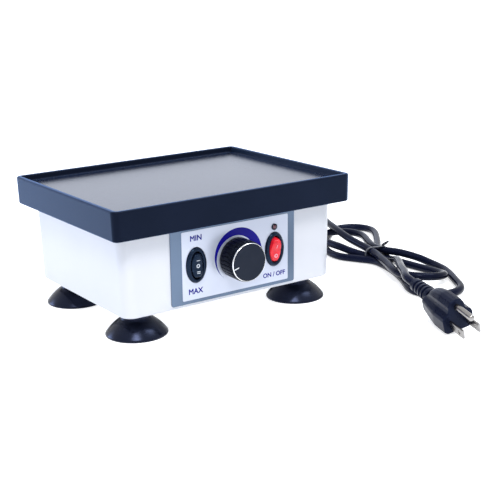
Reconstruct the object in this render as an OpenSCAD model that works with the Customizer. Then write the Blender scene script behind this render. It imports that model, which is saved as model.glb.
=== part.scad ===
// Small laboratory vibrating table: a rubber tray on four springs, shaken by an electromagnet
// in a white housing that stands on suction cups. Millimetres, +Z up, +X along the front,
// -Y towards the user, origin on the bench under the centre of the tray.

/* [Tray] */
// Length of the rubber tray over its rim
tray_l = 200; // [190:1:240]
// Width of the rubber tray over its rim
tray_w = 160; // [150:1:200]
// Height of the rim above the bench
tray_top = 97.6; // [96:0.2:102]
// Height of the skirt, rim to lower edge
tray_skirt = 20.5; // [18:0.5:23]
// Thickness of rim and skirt
tray_wall = 4; // [3:0.25:4.5]
// Depth of the working surface below the rim
tray_recess = 4.5; // [4.2:0.1:6]
// Thickness of the rubber under the working surface
tray_floor = 3; // [2:0.25:3.5]
// Radius of the upright corners
tray_corner = 5; // [4:0.5:9]
// How far each side draws in towards the lower edge
tray_draft = 0.5; // [0:0.1:0.8]
// Rounding of the rim
rim_round = 1.6; // [0.8:0.1:1.9]

/* [Table plate and its hangings] */
// Thickness of the steel plate under the rubber
plate_t = 4; // [3:0.25:5]
// Clearance between plate edge and skirt
plate_fit = 0.3; // [0.1:0.05:0.6]
// Distance of the springs from the ends of the housing
spring_in_x = 28.5; // [26:0.5:32]
// Distance of the springs from the long sides of the housing
spring_in_y = 25; // [23:0.5:28]
// Outer diameter of a spring
spring_d = 15; // [13:0.5:16]
// Wire diameter of a spring
spring_wire = 1.8; // [1.4:0.1:2.2]
// Turns of a spring
spring_turns = 5; // [4:1:6]
// Diameter of the guide bolts
bolt_d = 5; // [4:0.5:5.5]
// Play between a guide bolt and the hole it passes
bolt_play = 0.8; // [0.5:0.1:1.2]
// Gap from the spring seat down to the washer, more than the upward travel
lift_gap = 1.2; // [0.9:0.1:2]

/* [Housing] */
// Gap between the ends of the housing and the skirt of the tray
body_gap_x = 5.5; // [4:0.25:8]
// Gap between the long sides of the housing and the skirt of the tray
body_gap_y = 5; // [4:0.25:7]
// Height of the housing's lower edge above the bench
body_bottom = 18.4; // [17:0.2:20]
// Height of the top deck
deck_top = 81; // [80:0.2:82.5]
// Thickness of the top deck
deck_t = 2.5; // [2:0.25:3.5]
// Wall thickness
wall = 2.5; // [2:0.25:3]
// How far each side draws in towards the lower edge
body_draft = 1.5; // [0.5:0.1:2.5]
// Radius of the upright corners
body_corner = 10.5; // [8:0.5:14]
// Rounding of the lower edge
body_round = 2; // [1:0.25:2.5]
// Height of the spring seats above the bench
seat_z = 67; // [66:0.2:68.5]
// Thickness of the floor of a spring cup
seat_t = 2; // [1.5:0.25:2.5]
// Thickness of the wall of a spring cup
cup_wall = 1.8; // [1.2:0.2:2.4]
// Play round a spring in its cup
cup_play = 1.5; // [1:0.1:2]
// Thickness of the base plate
base_t = 2; // [1.5:0.25:3]
// How far the base plate lies above the lower edge
base_inset = 0.6; // [0.2:0.1:1.5]
// Gap round the base plate
base_fit = 0.4; // [0.2:0.1:0.8]
// Gap between a screw boss and the end wall
boss_gap = 1; // [0.5:0.1:1.5]
// Distance of the base plate screws from the middle, across the tray
boss_y = 14; // [12:1:20]
// Diameter of the screw bosses
boss_d = 9; // [8:0.5:10]
// Height of the screw bosses
boss_h = 18; // [12:1:24]

/* [Feet] */
// Diameter of a suction cup
foot_d = 45; // [40:1:48]
// Diameter of the neck of a suction cup
foot_neck = 21.5; // [19:0.5:25]
// Distance of the feet from the ends of the housing
foot_in_x = 20.5; // [19.5:0.5:24]
// Distance of the feet from the long sides of the housing
foot_in_y = 23; // [22:0.5:26]
// Height of the flared skirt of a suction cup
foot_skirt = 12; // [9:0.5:13]
// Thickness of the skirt at the rim
foot_rim = 1.1; // [0.8:0.1:1.6]
// Diameter of the foot studs
stud_d = 6; // [5:0.5:6]
// Length of a stud above the base plate
stud_up = 7; // [6:0.5:9]

/* [Control panel] */
// Width of the metal panel
panel_w = 106; // [104:1:112]
// Height of the metal panel
panel_h = 55.4; // [54:0.2:57]
// Height of the panel's lower edge above the bench
panel_z = 20.9; // [20.5:0.2:22]
// Sideways place of the panel
panel_x = -0.5; // [-2:0.25:1]
// Thickness of the metal panel
panel_t = 1; // [0.8:0.1:1.5]
// Width of the printed field
field_w = 91.2; // [88:0.4:96]
// Height of the printed field
field_h = 49.7; // [46:0.2:51]
// How far the printed field lies right of the panel's middle
field_dx = 1.4; // [-2:0.2:2]
// Metal left bare under the printed field
field_dz = 2.6; // [2:0.1:4]
// Thickness of the printed field
field_t = 0.2; // [0.1:0.05:0.4]
// Height of the controls' centre line above the bench
control_z = 48.5; // [47:0.25:50]
// Distance from the knob to either switch
switch_dx = 33.7; // [31:0.1:36]
// Sideways place of the knob
knob_x = 0.5; // [-2:0.25:3]

/* [Knob] */
// Diameter of the knob
knob_d = 29.5; // [26:0.5:32]
// Height of the knob over the panel, its gap included
knob_h = 17; // [14:0.5:20]
// Gap between knob and panel
knob_gap = 0.8; // [0.4:0.1:1.5]
// Number of flutes round the knob
knob_flutes = 30; // [18:2:36]
// Diameter of a flute
flute_d = 1.6; // [1:0.1:2]
// Thickness of the bright ring
ring_t = 1.2; // [0.8:0.1:2]
// Thickness of the dark face
face_t = 1; // [0.6:0.1:1.2]
// Angle of the pointer at rest, from +X, counter-clockwise seen from the front
pointer_a = 196; // [150:1:260]
// Diameter of the shaft
shaft_d = 6; // [5:0.5:6.5]
// Diameter of the potentiometer's threaded bush
bush_d = 7.2; // [7:0.1:8]
// Diameter of the potentiometer's case
pot_d = 17; // [14:0.5:20]
// Depth of the potentiometer's case
pot_depth = 9; // [7:0.5:11]

/* [Switches and lamp] */
// Width of a switch bezel
bezel_w = 17; // [16:0.2:18]
// Height of a switch bezel
bezel_h = 26.3; // [25.4:0.1:27.5]
// Thickness of a switch bezel
bezel_t = 2; // [1.4:0.1:2.6]
// Width of a switch case behind the panel
case_w = 14; // [13.6:0.1:14.6]
// Height of a switch case behind the panel
case_h = 22.6; // [22.2:0.1:23.2]
// Depth of a switch case, from the bezel's back
case_depth = 19; // [17:0.5:22]
// Width of a rocker
rocker_w = 9.6; // [9:0.1:10]
// Height of a rocker
rocker_h = 18.6; // [17.8:0.1:18.8]
// How high a rocker's ends stand over its pivot
rocker_end = 5; // [4.6:0.1:5.4]
// How high a rocker's middle stands over its pivot
rocker_mid = 3.8; // [3.4:0.1:4.2]
// Angle of a rocker from the middle to either side
rocker_a = 11; // [9:0.5:12]
// Diameter of a rocker's pivot pins
pivot_d = 2.4; // [2:0.1:2.6]
// Diameter of the lamp holder
lamp_holder_d = 5.6; // [5:0.1:7]
// Diameter of the lamp lens
lamp_d = 3.4; // [3:0.1:4]
// Height of the lamp above the bench
lamp_z = 65.4; // [65:0.1:66]

/* [Electromagnet] */
// Length of the core and armature
core_l = 60; // [56:1:64]
// Height of the core
core_h = 40; // [36:0.5:40]
// Thickness of the stack of laminations
core_stack = 24; // [20:1:28]
// Width of the middle leg, twice that of an outer leg
leg_w = 20; // [18:0.5:22]
// Air gap between core and armature
air_gap = 1.5; // [1:0.1:2]
// Height of the armature
armature_h = 8; // [6:0.5:9]
// Thickness of the magnet bracket
bracket_t = 2; // [1.5:0.25:3]

/* [Electronics] */
// Length of the control board
board_l = 78; // [74:1:82]
// Width of the control board
board_w = 34; // [32:1:36]
// Height of the board's standoffs
standoff_h = 8; // [6:0.5:10]
// Thickness of the board
board_t = 1.6; // [1:0.2:2]

/* [Cord] */
// Diameter of the mains cord
cord_d = 6.4; // [6:0.1:6.8]
// Distance of the strain relief from the right end of the housing
relief_in = 30.5; // [24.5:0.5:38]
// Height of the strain relief above the bench
relief_z = 36; // [33:0.5:42]
// Length of the strain relief outside the back
relief_out = 18.7; // [16:0.1:24]
// Diameter of the hole in the back for the strain relief
relief_hole = 11; // [10:0.25:12]
// Distance between the plug's blades
blade_pitch = 12.7; // [12.7]
// Length of the plug's blades
blade_l = 16.5; // [16:0.1:17.5]

/* [Hidden] */
$fn = 48;
eps = 0.01;

// ---- levels, from the bench up ----
base_z = body_bottom + base_inset;             // underside of the base plate
base_top = base_z + base_t;
deck_z = deck_top - deck_t;                    // underside of the deck
tray_floor_z = tray_top - tray_recess;         // working surface
plate_top = tray_floor_z - tray_floor;
plate_z = plate_top - plate_t;
skirt_z = tray_top - tray_skirt;
core_z = base_top + bracket_t;
core_top = core_z + core_h;
armature_z = core_top + air_gap;
armature_top = armature_z + armature_h;

// ---- places that several pieces share ----
plate_l = tray_l - 2 * (tray_wall + plate_fit);
plate_w = tray_w - 2 * (tray_wall + plate_fit);
body_l = tray_l - 2 * (tray_wall + body_gap_x);   // housing at its top
body_w = tray_w - 2 * (tray_wall + body_gap_y);
draft_a = atan(body_draft / (deck_top - body_bottom));
relief_x = body_l / 2 - relief_in;
spring_x = body_l / 2 - spring_in_x;
spring_y = body_w / 2 - spring_in_y;
spring_spots = [for (x = [-1, 1], y = [-1, 1]) [x * spring_x, y * spring_y]];
boss_x = body_l / 2 - body_draft - wall - boss_gap - boss_d / 2;
boss_web = [boss_d / 2 + boss_gap + wall / 2, 4, boss_h];   // joins a boss to the end wall
boss_spots = [for (x = [-1, 1], y = [-1, 1]) [x * boss_x, y * boss_y]];
foot_x = body_l / 2 - foot_in_x;
foot_y = body_w / 2 - foot_in_y;
foot_spots = [for (x = [-1, 1], y = [-1, 1]) [x * foot_x, y * foot_y]];
bolt_hole = bolt_d + bolt_play;
sunk_head = 1.9;                               // countersunk head, in screw diameters
bolt_sink = 2.4;                               // depth of a countersunk head
cup_d = spring_d + 2 * cup_play;
washer_t = 1.2;
nut_h = 4.5;
screw_d = 3;                                   // small machine screws
screw_head = [5.6, 2];                         // their heads: diameter, height
base_screw_l = 10;
stud_nut = [10, 5];                            // hexagon nuts: width over flats, height
guide_nut_flats = 8;
clamp_head = [7, 2.8];
clamp_nut = [7, 3.2];
clamp_over = 6;                                // what a clamp bolt's two ends need outside the bracket
relief_flange = 2.2;                           // collar of the strain relief, inside the wall
relief_d = 14;

// Where a wall of the housing stands at a height, measured from the middle
function wall_y(z) = body_w / 2 - body_draft * (deck_top - z) / (deck_top - body_bottom);

// ---- small helpers ----
module round_rect(l, w, r) {
  square([l - 2 * r, w], center = true);
  square([l, w - 2 * r], center = true);
  for (x = [-1, 1], y = [-1, 1]) translate([x * (l / 2 - r), y * (w / 2 - r)]) circle(r);
}

module slab(l, w, r, z) translate([0, 0, z]) linear_extrude(eps) round_rect(l, w, r, $fn = 32);

module oval(w, h) polygon([for (a = [0:10:350]) [w / 2 * cos(a), h / 2 * sin(a)]]);

module at(spots) for (p = spots) translate(p) children();

module tube(d, bore, h) difference() {
  cylinder(d = d, h = h);
  translate([0, 0, -1]) cylinder(d = bore, h = h + 2);
}

module hex(flats, h) cylinder(d = flats / cos(30), h = h, $fn = 6);

// A screw seen from its head's underside: the shank goes down from 0, the head stands up
module pan_screw(d, l, head_d, head_h) {
  translate([0, 0, -l]) cylinder(d = d, h = l + eps);
  difference() {
    cylinder(d = head_d, h = head_h);
    for (a = [0, 90]) rotate(a) translate([0, 0, head_h]) cube([0.6 * head_d, 0.8, 1.2], center = true);
  }
}

// Puts a piece on the front of the housing: local X runs along the panel, local Y up it,
// and local Z out of it from the housing's face
module on_front(x, z) translate([x, -wall_y(z), z]) rotate([90 + draft_a, 0, 0]) children();

// The same at the back, with local Z out of the back
module on_back(x, z) translate([x, wall_y(z), z]) rotate([-90 - draft_a, 0, 0]) children();

// ---- cords and wires: a round tube swept along a smooth line through a few points ----
function curve_point(a, b, c, d, t) =
  0.5 * ((2 * b) + (c - a) * t + (2 * a - 5 * b + 4 * c - d) * t * t
  + (3 * b - a - 3 * c + d) * t * t * t);

// The line sets out and arrives straight, along its first and its last stretch
function smooth_line(p, steps) = let (n = len(p) - 1) [
  for (i = [0:n - 1], k = [0:steps - 1])
    let (before = i > 0 ? p[i - 1] : 2 * p[0] - p[1],
         after = i < n - 1 ? p[i + 2] : 2 * p[n] - p[n - 1])
      curve_point(before, p[i], p[i + 1], after, k / steps),
  p[n]
];

function unit(v) = v / norm(v);

function line_dir(p, i) = unit(p[min(i + 1, len(p) - 1)] - p[max(i - 1, 0)]);

function square_to(v, t) = unit(v - (v * t) * t);

function side_start(t) = abs(t.z) > 0.9 ? square_to([1, 0, 0], t) : square_to([0, 0, 1], t);

// One sideways direction for each point, turned as little as possible from the one before
function sides_along(p) = [
  for (i = 0, s = side_start(line_dir(p, 0)); i < len(p);
       i = i + 1, s = i < len(p) ? square_to(s, line_dir(p, i)) : s) s
];

module swept(p, d, n = 8) {
  side = sides_along(p);
  rings = [for (i = [0:len(p) - 1], k = [0:n - 1])
    let (s = side[i], u = cross(line_dir(p, i), s), a = 360 * k / n)
    p[i] + d / 2 * (cos(a) * s + sin(a) * u)];
  last = (len(p) - 1) * n;
  walls = [for (i = [0:len(p) - 2], k = [0:n - 1])
    let (a = i * n + k, b = i * n + (k + 1) % n) [a, a + n, b + n, b]];
  ends = [[for (k = [0:n - 1]) k], [for (k = [n - 1:-1:0]) last + k]];
  polyhedron(rings, concat(walls, ends), convexity = 8);
}

module wire(points, d = 1.8) swept(smooth_line(points, 3), d, 6);

// =============================== what shakes ===============================

module rubber_tray() color("#1d2230") difference() {
  hull() {
    slab(tray_l - 2 * tray_draft, tray_w - 2 * tray_draft, tray_corner, skirt_z);
    slab(tray_l, tray_w, tray_corner, tray_top - rim_round);
    slab(tray_l - 0.6 * rim_round, tray_w - 0.6 * rim_round, tray_corner, tray_top - 0.3 * rim_round);
    slab(tray_l - 2 * rim_round, tray_w - 2 * rim_round, tray_corner - rim_round, tray_top - eps);
  }
  translate([0, 0, tray_floor_z]) linear_extrude(tray_recess + 1)
    round_rect(tray_l - 2 * tray_wall, tray_w - 2 * tray_wall, max(tray_corner - tray_wall, 1));
  translate([0, 0, skirt_z - 1]) linear_extrude(plate_top - skirt_z + 1)
    round_rect(tray_l - 2 * tray_wall, tray_w - 2 * tray_wall, max(tray_corner - tray_wall, 1));
}

hanger_x = (core_l - leg_w / 2) / 2;           // the armature hangs over the outer legs
hanger_spots = [[-hanger_x, 0], [hanger_x, 0]];
hanger_d = 9;
hanger_screw = 4;

hole_fit = 0.1;                                // a plain hole is wider than its screw by this

module sunk_hole(d) {
  translate([0, 0, plate_z - 1]) cylinder(d = d + hole_fit, h = plate_t + 2);
  translate([0, 0, plate_top - bolt_sink])
    cylinder(d1 = d + hole_fit, d2 = sunk_head * d + hole_fit, h = bolt_sink + eps);
}

module table_plate() color("#9aa0a6") difference() {
  translate([0, 0, plate_z]) linear_extrude(plate_t) round_rect(plate_l, plate_w, 2);
  at(spring_spots) sunk_hole(bolt_d);
  at(hanger_spots) sunk_hole(hanger_screw);
}

washer_top = seat_z - seat_t - lift_gap;
nut_z = washer_top - washer_t - nut_h;

module sunk_screw(d, end_z) {
  translate([0, 0, end_z]) cylinder(d = d, h = plate_top - end_z);
  difference() {
    translate([0, 0, plate_top - bolt_sink]) cylinder(d1 = d, d2 = sunk_head * d, h = bolt_sink);
    translate([0, 0, plate_top - 1.2]) hex(0.6 * d, 2);
  }
}

module guide_bolts() color("silver") at(spring_spots) sunk_screw(bolt_d, nut_z - 1.5);

module guide_washers() color("silver") at(spring_spots) translate([0, 0, washer_top - washer_t])
  tube(bolt_hole + 6, bolt_d, washer_t);

module guide_nuts() color("silver") at(spring_spots) translate([0, 0, nut_z]) difference() {
  hex(guide_nut_flats, nut_h);
  translate([0, 0, -1]) cylinder(d = bolt_d, h = nut_h + 2);
}

// Each spring stands in its cup and carries the plate, with half a wire of flattened end
spring_rise = plate_z - seat_z - spring_wire;
spring_steps = 14;                             // points in a turn

function spring_line() = [for (i = [0:spring_turns * spring_steps])
  let (a = 360 * i / spring_steps, t = i / (spring_turns * spring_steps),
       flat = 0.5 / spring_turns, rise = min(max((t - flat) / (1 - 2 * flat), 0), 1))
  [(spring_d - spring_wire) / 2 * cos(a), (spring_d - spring_wire) / 2 * sin(a),
   seat_z + spring_wire / 2 + spring_rise * rise]];

module coil_springs() color("#c8ccd0") at(spring_spots) swept(spring_line(), spring_wire, 6);

module armature() color("#6d7278") difference() {
  translate([-core_l / 2, -core_stack / 2, armature_z]) cube([core_l, core_stack, armature_h]);
  at(hanger_spots) translate([0, 0, armature_z - 1]) cylinder(d = hanger_screw, h = armature_h + 2);
}

module armature_spacers() color("#b9bdc2") at(hanger_spots) translate([0, 0, armature_top])
  tube(hanger_d, hanger_screw, plate_z - armature_top);

module armature_screws() color("silver") at(hanger_spots) sunk_screw(hanger_screw, armature_z);

// =============================== housing and base ===============================

window_l = core_l + 8;                         // opening in the deck that the armature passes
window_w = core_stack + 8;
hole_x = [knob_x - switch_dx, knob_x + switch_dx];

module body_shape(inset, bottom, top, round_r) hull() {
  slab(body_l - 2 * (body_draft + inset + round_r), body_w - 2 * (body_draft + inset + round_r),
    body_corner - inset - round_r, bottom);
  slab(body_l - 2 * (body_draft + inset), body_w - 2 * (body_draft + inset),
    body_corner - inset, bottom + round_r);
  slab(body_l - 2 * inset, body_w - 2 * inset, body_corner - inset, top - eps);
}

module housing() color("white") difference() {
  union() {
    difference() {
      body_shape(0, body_bottom, deck_top, body_round);
      body_shape(wall, body_bottom - 1, deck_z, 0);
    }
    at(spring_spots) translate([0, 0, seat_z - seat_t])
      cylinder(d = cup_d + 2 * cup_wall, h = deck_top - seat_z + seat_t);
    at(boss_spots) translate([0, 0, base_top]) cylinder(d = boss_d, h = boss_h);
    for (p = boss_spots) translate([p.x + sign(p.x) * boss_web.x / 2, p.y, base_top + boss_h / 2])
      cube(boss_web, center = true);
  }
  at(spring_spots) {
    translate([0, 0, seat_z]) cylinder(d = cup_d, h = deck_top);
    translate([0, 0, seat_z - seat_t - 1]) cylinder(d = bolt_hole, h = seat_t + 2);
  }
  translate([0, 0, deck_z]) cube([window_l, window_w, 3 * deck_t], center = true);
  at(boss_spots) translate([0, 0, base_top - 1]) cylinder(d = screw_d, h = boss_h - 3);
  for (x = hole_x) on_front(x, control_z) translate([0, 0, -2 * wall])
    linear_extrude(3 * wall) oval(case_w + 0.4, case_h + 0.4);
  on_front(knob_x, control_z) translate([0, 0, -2 * wall]) cylinder(d = bush_d + 0.2, h = 3 * wall);
  on_front(hole_x[1], lamp_z) translate([0, 0, -2 * wall]) cylinder(d = lamp_d + 0.2, h = 3 * wall);
  on_back(relief_x, relief_z) translate([0, 0, -2 * wall]) cylinder(d = relief_hole, h = 3 * wall);
}

module base_plate() color("#c3c7cc") difference() {
  translate([0, 0, base_z]) linear_extrude(base_t)
    round_rect(body_l - 2 * (body_draft + wall + base_fit), body_w - 2 * (body_draft + wall + base_fit),
      body_corner - wall);
  at(boss_spots) translate([0, 0, base_z - 1]) cylinder(d = screw_d + 0.2, h = base_t + 2);
  at(foot_spots) translate([0, 0, base_z - 1]) cylinder(d = stud_d + 0.2, h = base_t + 2);
  at(concat(bracket_spots, standoff_spots, [block_spot, earth_spot]))
    translate([0, 0, base_z - 1]) cylinder(d = screw_d + 0.2, h = base_t + 2);
}

module base_screws() color("silver") at(boss_spots) translate([0, 0, base_z]) rotate([180, 0, 0])
  pan_screw(screw_d - 0.1, base_screw_l, screw_head[0], screw_head[1]);

// =============================== feet ===============================

stud_z = 10;                                   // lower end of a stud, moulded into its cup
suction_depth = 4;                             // hollow under a cup
foot_seat = 1.3;                               // width of the ring that stands on the bench
foot_bulge = 0.9;                              // how far the skirt swells out of a straight cone
foot_shoulder = [foot_neck / 2 + 1, foot_skirt - 0.6];
foot_belly = ([foot_d / 2, foot_rim] + foot_shoulder) / 2 + [foot_bulge, foot_bulge];

module foot(spot) color("#14171f") translate(spot) rotate_extrude() polygon([
  [0, suction_depth], [foot_d / 4, 0.75 * suction_depth],
  [foot_d / 2 - foot_seat - 1.2, 0.6], [foot_d / 2 - foot_seat - 0.3, 0], [foot_d / 2 - 0.3, 0],
  [foot_d / 2, foot_rim], foot_belly, foot_shoulder, [foot_neck / 2, foot_skirt + 1],
  [foot_neck / 2, base_z], [stud_d / 2, base_z], [stud_d / 2, stud_z], [0, stud_z]
]);

module foot_front_left() foot([-foot_x, -foot_y]);
module foot_front_right() foot([foot_x, -foot_y]);
module foot_back_left() foot([-foot_x, foot_y]);
module foot_back_right() foot([foot_x, foot_y]);

module foot_studs() color("silver") at(foot_spots) translate([0, 0, stud_z])
  cylinder(d = stud_d, h = base_top + stud_up - stud_z);

module foot_nuts() color("silver") at(foot_spots) translate([0, 0, base_top]) difference() {
  hex(stud_nut[0], stud_nut[1]);
  translate([0, 0, -1]) cylinder(d = stud_d, h = stud_nut[1] + 2);
}

// =============================== control panel ===============================

field_z = panel_z + field_dz;
face = panel_t + field_t;                      // face of the printed field, out of the housing
lamp_x = hole_x[1];

module panel_holes() {
  for (x = hole_x) on_front(x, control_z) translate([0, 0, -1])
    linear_extrude(panel_t + field_t + 2) oval(case_w + 0.4, case_h + 0.4);
  on_front(knob_x, control_z) translate([0, 0, -1]) cylinder(d = bush_d + 0.2, h = face + 2);
  on_front(lamp_x, lamp_z) translate([0, 0, -1]) cylinder(d = lamp_d + 0.2, h = face + 2);
}

module panel_plate() color("#8fa0b4") difference() {
  on_front(panel_x, panel_z) translate([0, panel_h / 2, 0]) linear_extrude(panel_t)
    round_rect(panel_w, panel_h, 1.5);
  panel_holes();
}

module panel_label() color("#dfe3ea") difference() {
  on_front(panel_x + field_dx, field_z) translate([0, field_h / 2, panel_t])
    linear_extrude(field_t) round_rect(field_w, field_h, 1);
  panel_holes();
}

module lamp_holder() color("#2b2630") on_front(lamp_x, lamp_z) translate([0, 0, face])
  tube(lamp_holder_d, lamp_d + 0.2, 0.8);

module lamp_lens() color("#b85a66") on_front(lamp_x, lamp_z) {
  translate([0, 0, -wall - 2]) cylinder(d = lamp_d, h = wall + 2 + face + 0.4);
  translate([0, 0, face + 0.4]) sphere(d = lamp_d);
  translate([0, 0, -wall - 3]) cylinder(d = lamp_d + 1, h = 2.9);
}

// ---- rocker switches: a case that drops in from the front, and the rocker on its pivot ----
pivot_in = 1;                                  // pivot, behind the face of the printed field
pivot_n = face - pivot_in;
rocker_under = 2.5;                            // how far a rocker reaches below its pivot
rocker_side = 0.3;                             // gap beside a rocker
rocker_turn = 0.8;                             // gap above and below it, for its turning
pocket_deep = rocker_under + rocker_h / 2 * sin(rocker_a) + 0.5;
pin_l = 1.2;                                   // how far a pivot pin reaches into the case
tag_l = 8;                                     // solder tags
tag_spots = [-7, 0, 7];
case_back = face - case_depth;

module switch_case(x) on_front(x, control_z) difference() {
  union() {
    translate([0, 0, face]) linear_extrude(0.6 * bezel_t) oval(bezel_w, bezel_h);
    translate([0, 0, face]) linear_extrude(bezel_t) oval(bezel_w - 1.2, bezel_h - 1.2);
    translate([0, 0, case_back]) linear_extrude(case_depth + eps) oval(case_w, case_h);
  }
  translate([0, 0, pivot_n - pocket_deep]) linear_extrude(20)
    oval(rocker_w + 2 * rocker_side, rocker_h + 2 * rocker_turn);
  translate([0, 0, pivot_n]) rotate([0, 90, 0])
    cylinder(d = pivot_d + 0.2, h = rocker_w + 2 * pin_l + 0.4, center = true);
}

module switch_tags(x) color("#c9a24a") on_front(x, control_z)
  for (y = tag_spots) translate([0, y, case_back - tag_l / 2]) cube([4.8, 0.8, tag_l], center = true);

module rocker(x, tilt) on_front(x, control_z) translate([0, 0, pivot_n]) rotate([tilt, 0, 0]) {
  intersection() {
    rotate([90, 0, 90]) linear_extrude(rocker_w, center = true) intersection() {
      circle(d = rocker_h + 0.2, $fn = 72);
      polygon([[-rocker_h / 2, rocker_end], [0, rocker_mid], [rocker_h / 2, rocker_end],
        [rocker_h / 2, -rocker_under], [-rocker_h / 2, -rocker_under]]);
    }
    linear_extrude(40, center = true) oval(rocker_w, rocker_h);
  }
  rotate([0, 90, 0]) cylinder(d = pivot_d, h = rocker_w + 2 * pin_l, center = true);
}

module speed_switch_case() color("#16191f") switch_case(hole_x[0]);
module speed_switch_terminals() switch_tags(hole_x[0]);
module speed_rocker() color("#20242c") rocker(hole_x[0], 0);
module power_switch_case() color("#16191f") switch_case(hole_x[1]);
module power_switch_terminals() switch_tags(hole_x[1]);
module power_rocker() color("#e2323a") rocker(hole_x[1], rocker_a);

// ---- knob and potentiometer ----
pot_front = -wall - 0.05;                      // the case bears on the inside of the wall
pot_nut_h = 2;
bush_out = pot_nut_h + 0.4;                    // bush, out of the face
knob_recess = bush_out + 0.4 - knob_gap;       // clears the nut
shaft_in = 1.5;                                // shaft, into the case
shaft_from = pot_front - shaft_in;
shaft_grip = 5;                                // solid knob left over the shaft's end
knob_front = face + knob_h;
knob_top = knob_front - ring_t;
pot_tag = [1.4, 5, 0.5];

module pot_case() color("#7d8288") on_front(knob_x, control_z) difference() {
  union() {
    translate([0, 0, pot_front - pot_depth]) cylinder(d = pot_d, h = pot_depth);
    translate([0, 0, pot_front - eps]) cylinder(d = bush_d, h = face + bush_out - pot_front);
    for (x = [-4, 0, 4]) translate([x, -pot_d / 2 - 1.5, pot_front - 2]) cube(pot_tag, center = true);
  }
  translate([0, 0, shaft_from - 0.3]) cylinder(d = shaft_d + 0.1, h = 40);
}

module pot_nut() color("silver") on_front(knob_x, control_z) translate([0, 0, face]) difference() {
  hex(10, pot_nut_h);
  translate([0, 0, -1]) cylinder(d = bush_d, h = pot_nut_h + 2);
}

module pot_shaft() color("silver") on_front(knob_x, control_z)
  translate([0, 0, shaft_from]) cylinder(d = shaft_d, h = knob_top - shaft_grip - shaft_from);

module knob_body() color("#15181e") on_front(knob_x, control_z) difference() {
  translate([0, 0, face + knob_gap]) cylinder(d = knob_d, h = knob_top - face - knob_gap, $fn = 96);
  translate([0, 0, face]) cylinder(d = 18, h = knob_gap + knob_recess);
  cylinder(d = shaft_d + 0.04, h = knob_top - shaft_grip);
  for (i = [0:knob_flutes - 1]) rotate(360 * i / knob_flutes)
    translate([knob_d / 2 + 0.25 * flute_d, 0, face]) cylinder(d = flute_d, h = knob_h - 2, $fn = 16);
}

ring_d = knob_d - 1.2;
face_d = knob_d - 2.6;

module knob_ring() color("silver") on_front(knob_x, control_z) rotate_extrude($fn = 96) polygon([
  [face_d / 2 + 0.05, knob_top], [ring_d / 2, knob_top], [ring_d / 2, knob_top + 0.3],
  [face_d / 2 + 0.25, knob_front], [face_d / 2 + 0.05, knob_front]
]);

module knob_face() color("#2a2e36") on_front(knob_x, control_z) difference() {
  translate([0, 0, knob_top]) cylinder(d = face_d, h = face_t, $fn = 96);
  rotate(pointer_a) translate([face_d / 2 - 2.6, 0, knob_top + face_t])
    cube([5.4, 0.9, 0.4], center = true);
}

// =============================== electromagnet ===============================

window_h = core_h - leg_w / 2;
clamp_x = core_l / 2 - leg_w / 4;
clamp_z = core_z + leg_w / 4;
clamp_d = 4;
bracket_x = core_l / 2 + 8;
bracket_spots = [for (x = [-1, 1], y = [-1, 1]) [x * bracket_x, y * (core_stack / 2 - 4)]];

module clamp_holes() for (x = [-clamp_x, clamp_x]) translate([x, 0, clamp_z]) rotate([90, 0, 0])
  cylinder(d = clamp_d, h = 3 * core_stack, center = true);

module magnet_core() color("#5d6268") difference() {
  translate([-core_l / 2, -core_stack / 2, core_z]) cube([core_l, core_stack, core_h]);
  for (s = [-1, 1]) translate([s * core_l / 4, 0, core_top])
    cube([core_l / 2 - leg_w, 2 * core_stack, 2 * window_h], center = true);
  clamp_holes();
}

bracket_h = leg_w / 2 + bracket_t;             // height of the cheeks that hold the core

module magnet_bracket() color("#b4b8bd") difference() {
  union() {
    translate([0, 0, base_top + bracket_t / 2])
      cube([2 * bracket_x + 10, core_stack + 2 * bracket_t, bracket_t], center = true);
    for (s = [-1, 1]) translate([0, s * (core_stack + bracket_t) / 2, base_top + bracket_h / 2])
      cube([core_l, bracket_t, bracket_h], center = true);
  }
  clamp_holes();
  at(bracket_spots) translate([0, 0, base_top - 1]) cylinder(d = screw_d + 0.2, h = bracket_t + 2);
}

module bracket_screws() color("silver") at(bracket_spots) translate([0, 0, core_z])
  pan_screw(screw_d, bracket_t + base_t, screw_head[0], screw_head[1]);

cheek_y = core_stack / 2 + bracket_t;          // outer faces of the bracket

module clamp_bolts() color("silver") for (x = [-clamp_x, clamp_x]) translate([x, 0, clamp_z]) {
  rotate([90, 0, 0]) cylinder(d = clamp_d, h = 2 * cheek_y + clamp_over, center = true);
  translate([0, -cheek_y, 0]) rotate([90, 0, 0]) hex(clamp_head[0], clamp_head[1]);
  translate([0, cheek_y, 0]) rotate([-90, 0, 0]) hex(clamp_nut[0], clamp_nut[1]);
}

bobbin_wall = 1;
bobbin_fit = 0.2;
bobbin_z = core_z + leg_w / 2 + bobbin_fit;
bobbin_h = window_h - 2 * bobbin_fit - 1;
coil_side = core_l / 2 - leg_w - 0.4;          // from the leg to the bobbin's edge

module leg_ring(grow) round_rect(leg_w + 2 * grow, core_stack + 2 * grow, min(grow, 4));

module coil_bobbin() color("#e8e4d8") translate([0, 0, bobbin_z]) difference() {
  union() {
    linear_extrude(bobbin_h) leg_ring(bobbin_fit + bobbin_wall);
    for (z = [0, bobbin_h - bobbin_wall]) translate([0, 0, z])
      linear_extrude(bobbin_wall) leg_ring(coil_side);
  }
  translate([0, 0, -1]) linear_extrude(bobbin_h + 2)
    square([leg_w + 2 * bobbin_fit, core_stack + 2 * bobbin_fit], center = true);
}

module coil_winding() color("#b5642a") translate([0, 0, bobbin_z + bobbin_wall])
  linear_extrude(bobbin_h - 2 * bobbin_wall) difference() {
    leg_ring(coil_side - 0.6);
    leg_ring(bobbin_fit + bobbin_wall);
  }

// =============================== electronics ===============================

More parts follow.
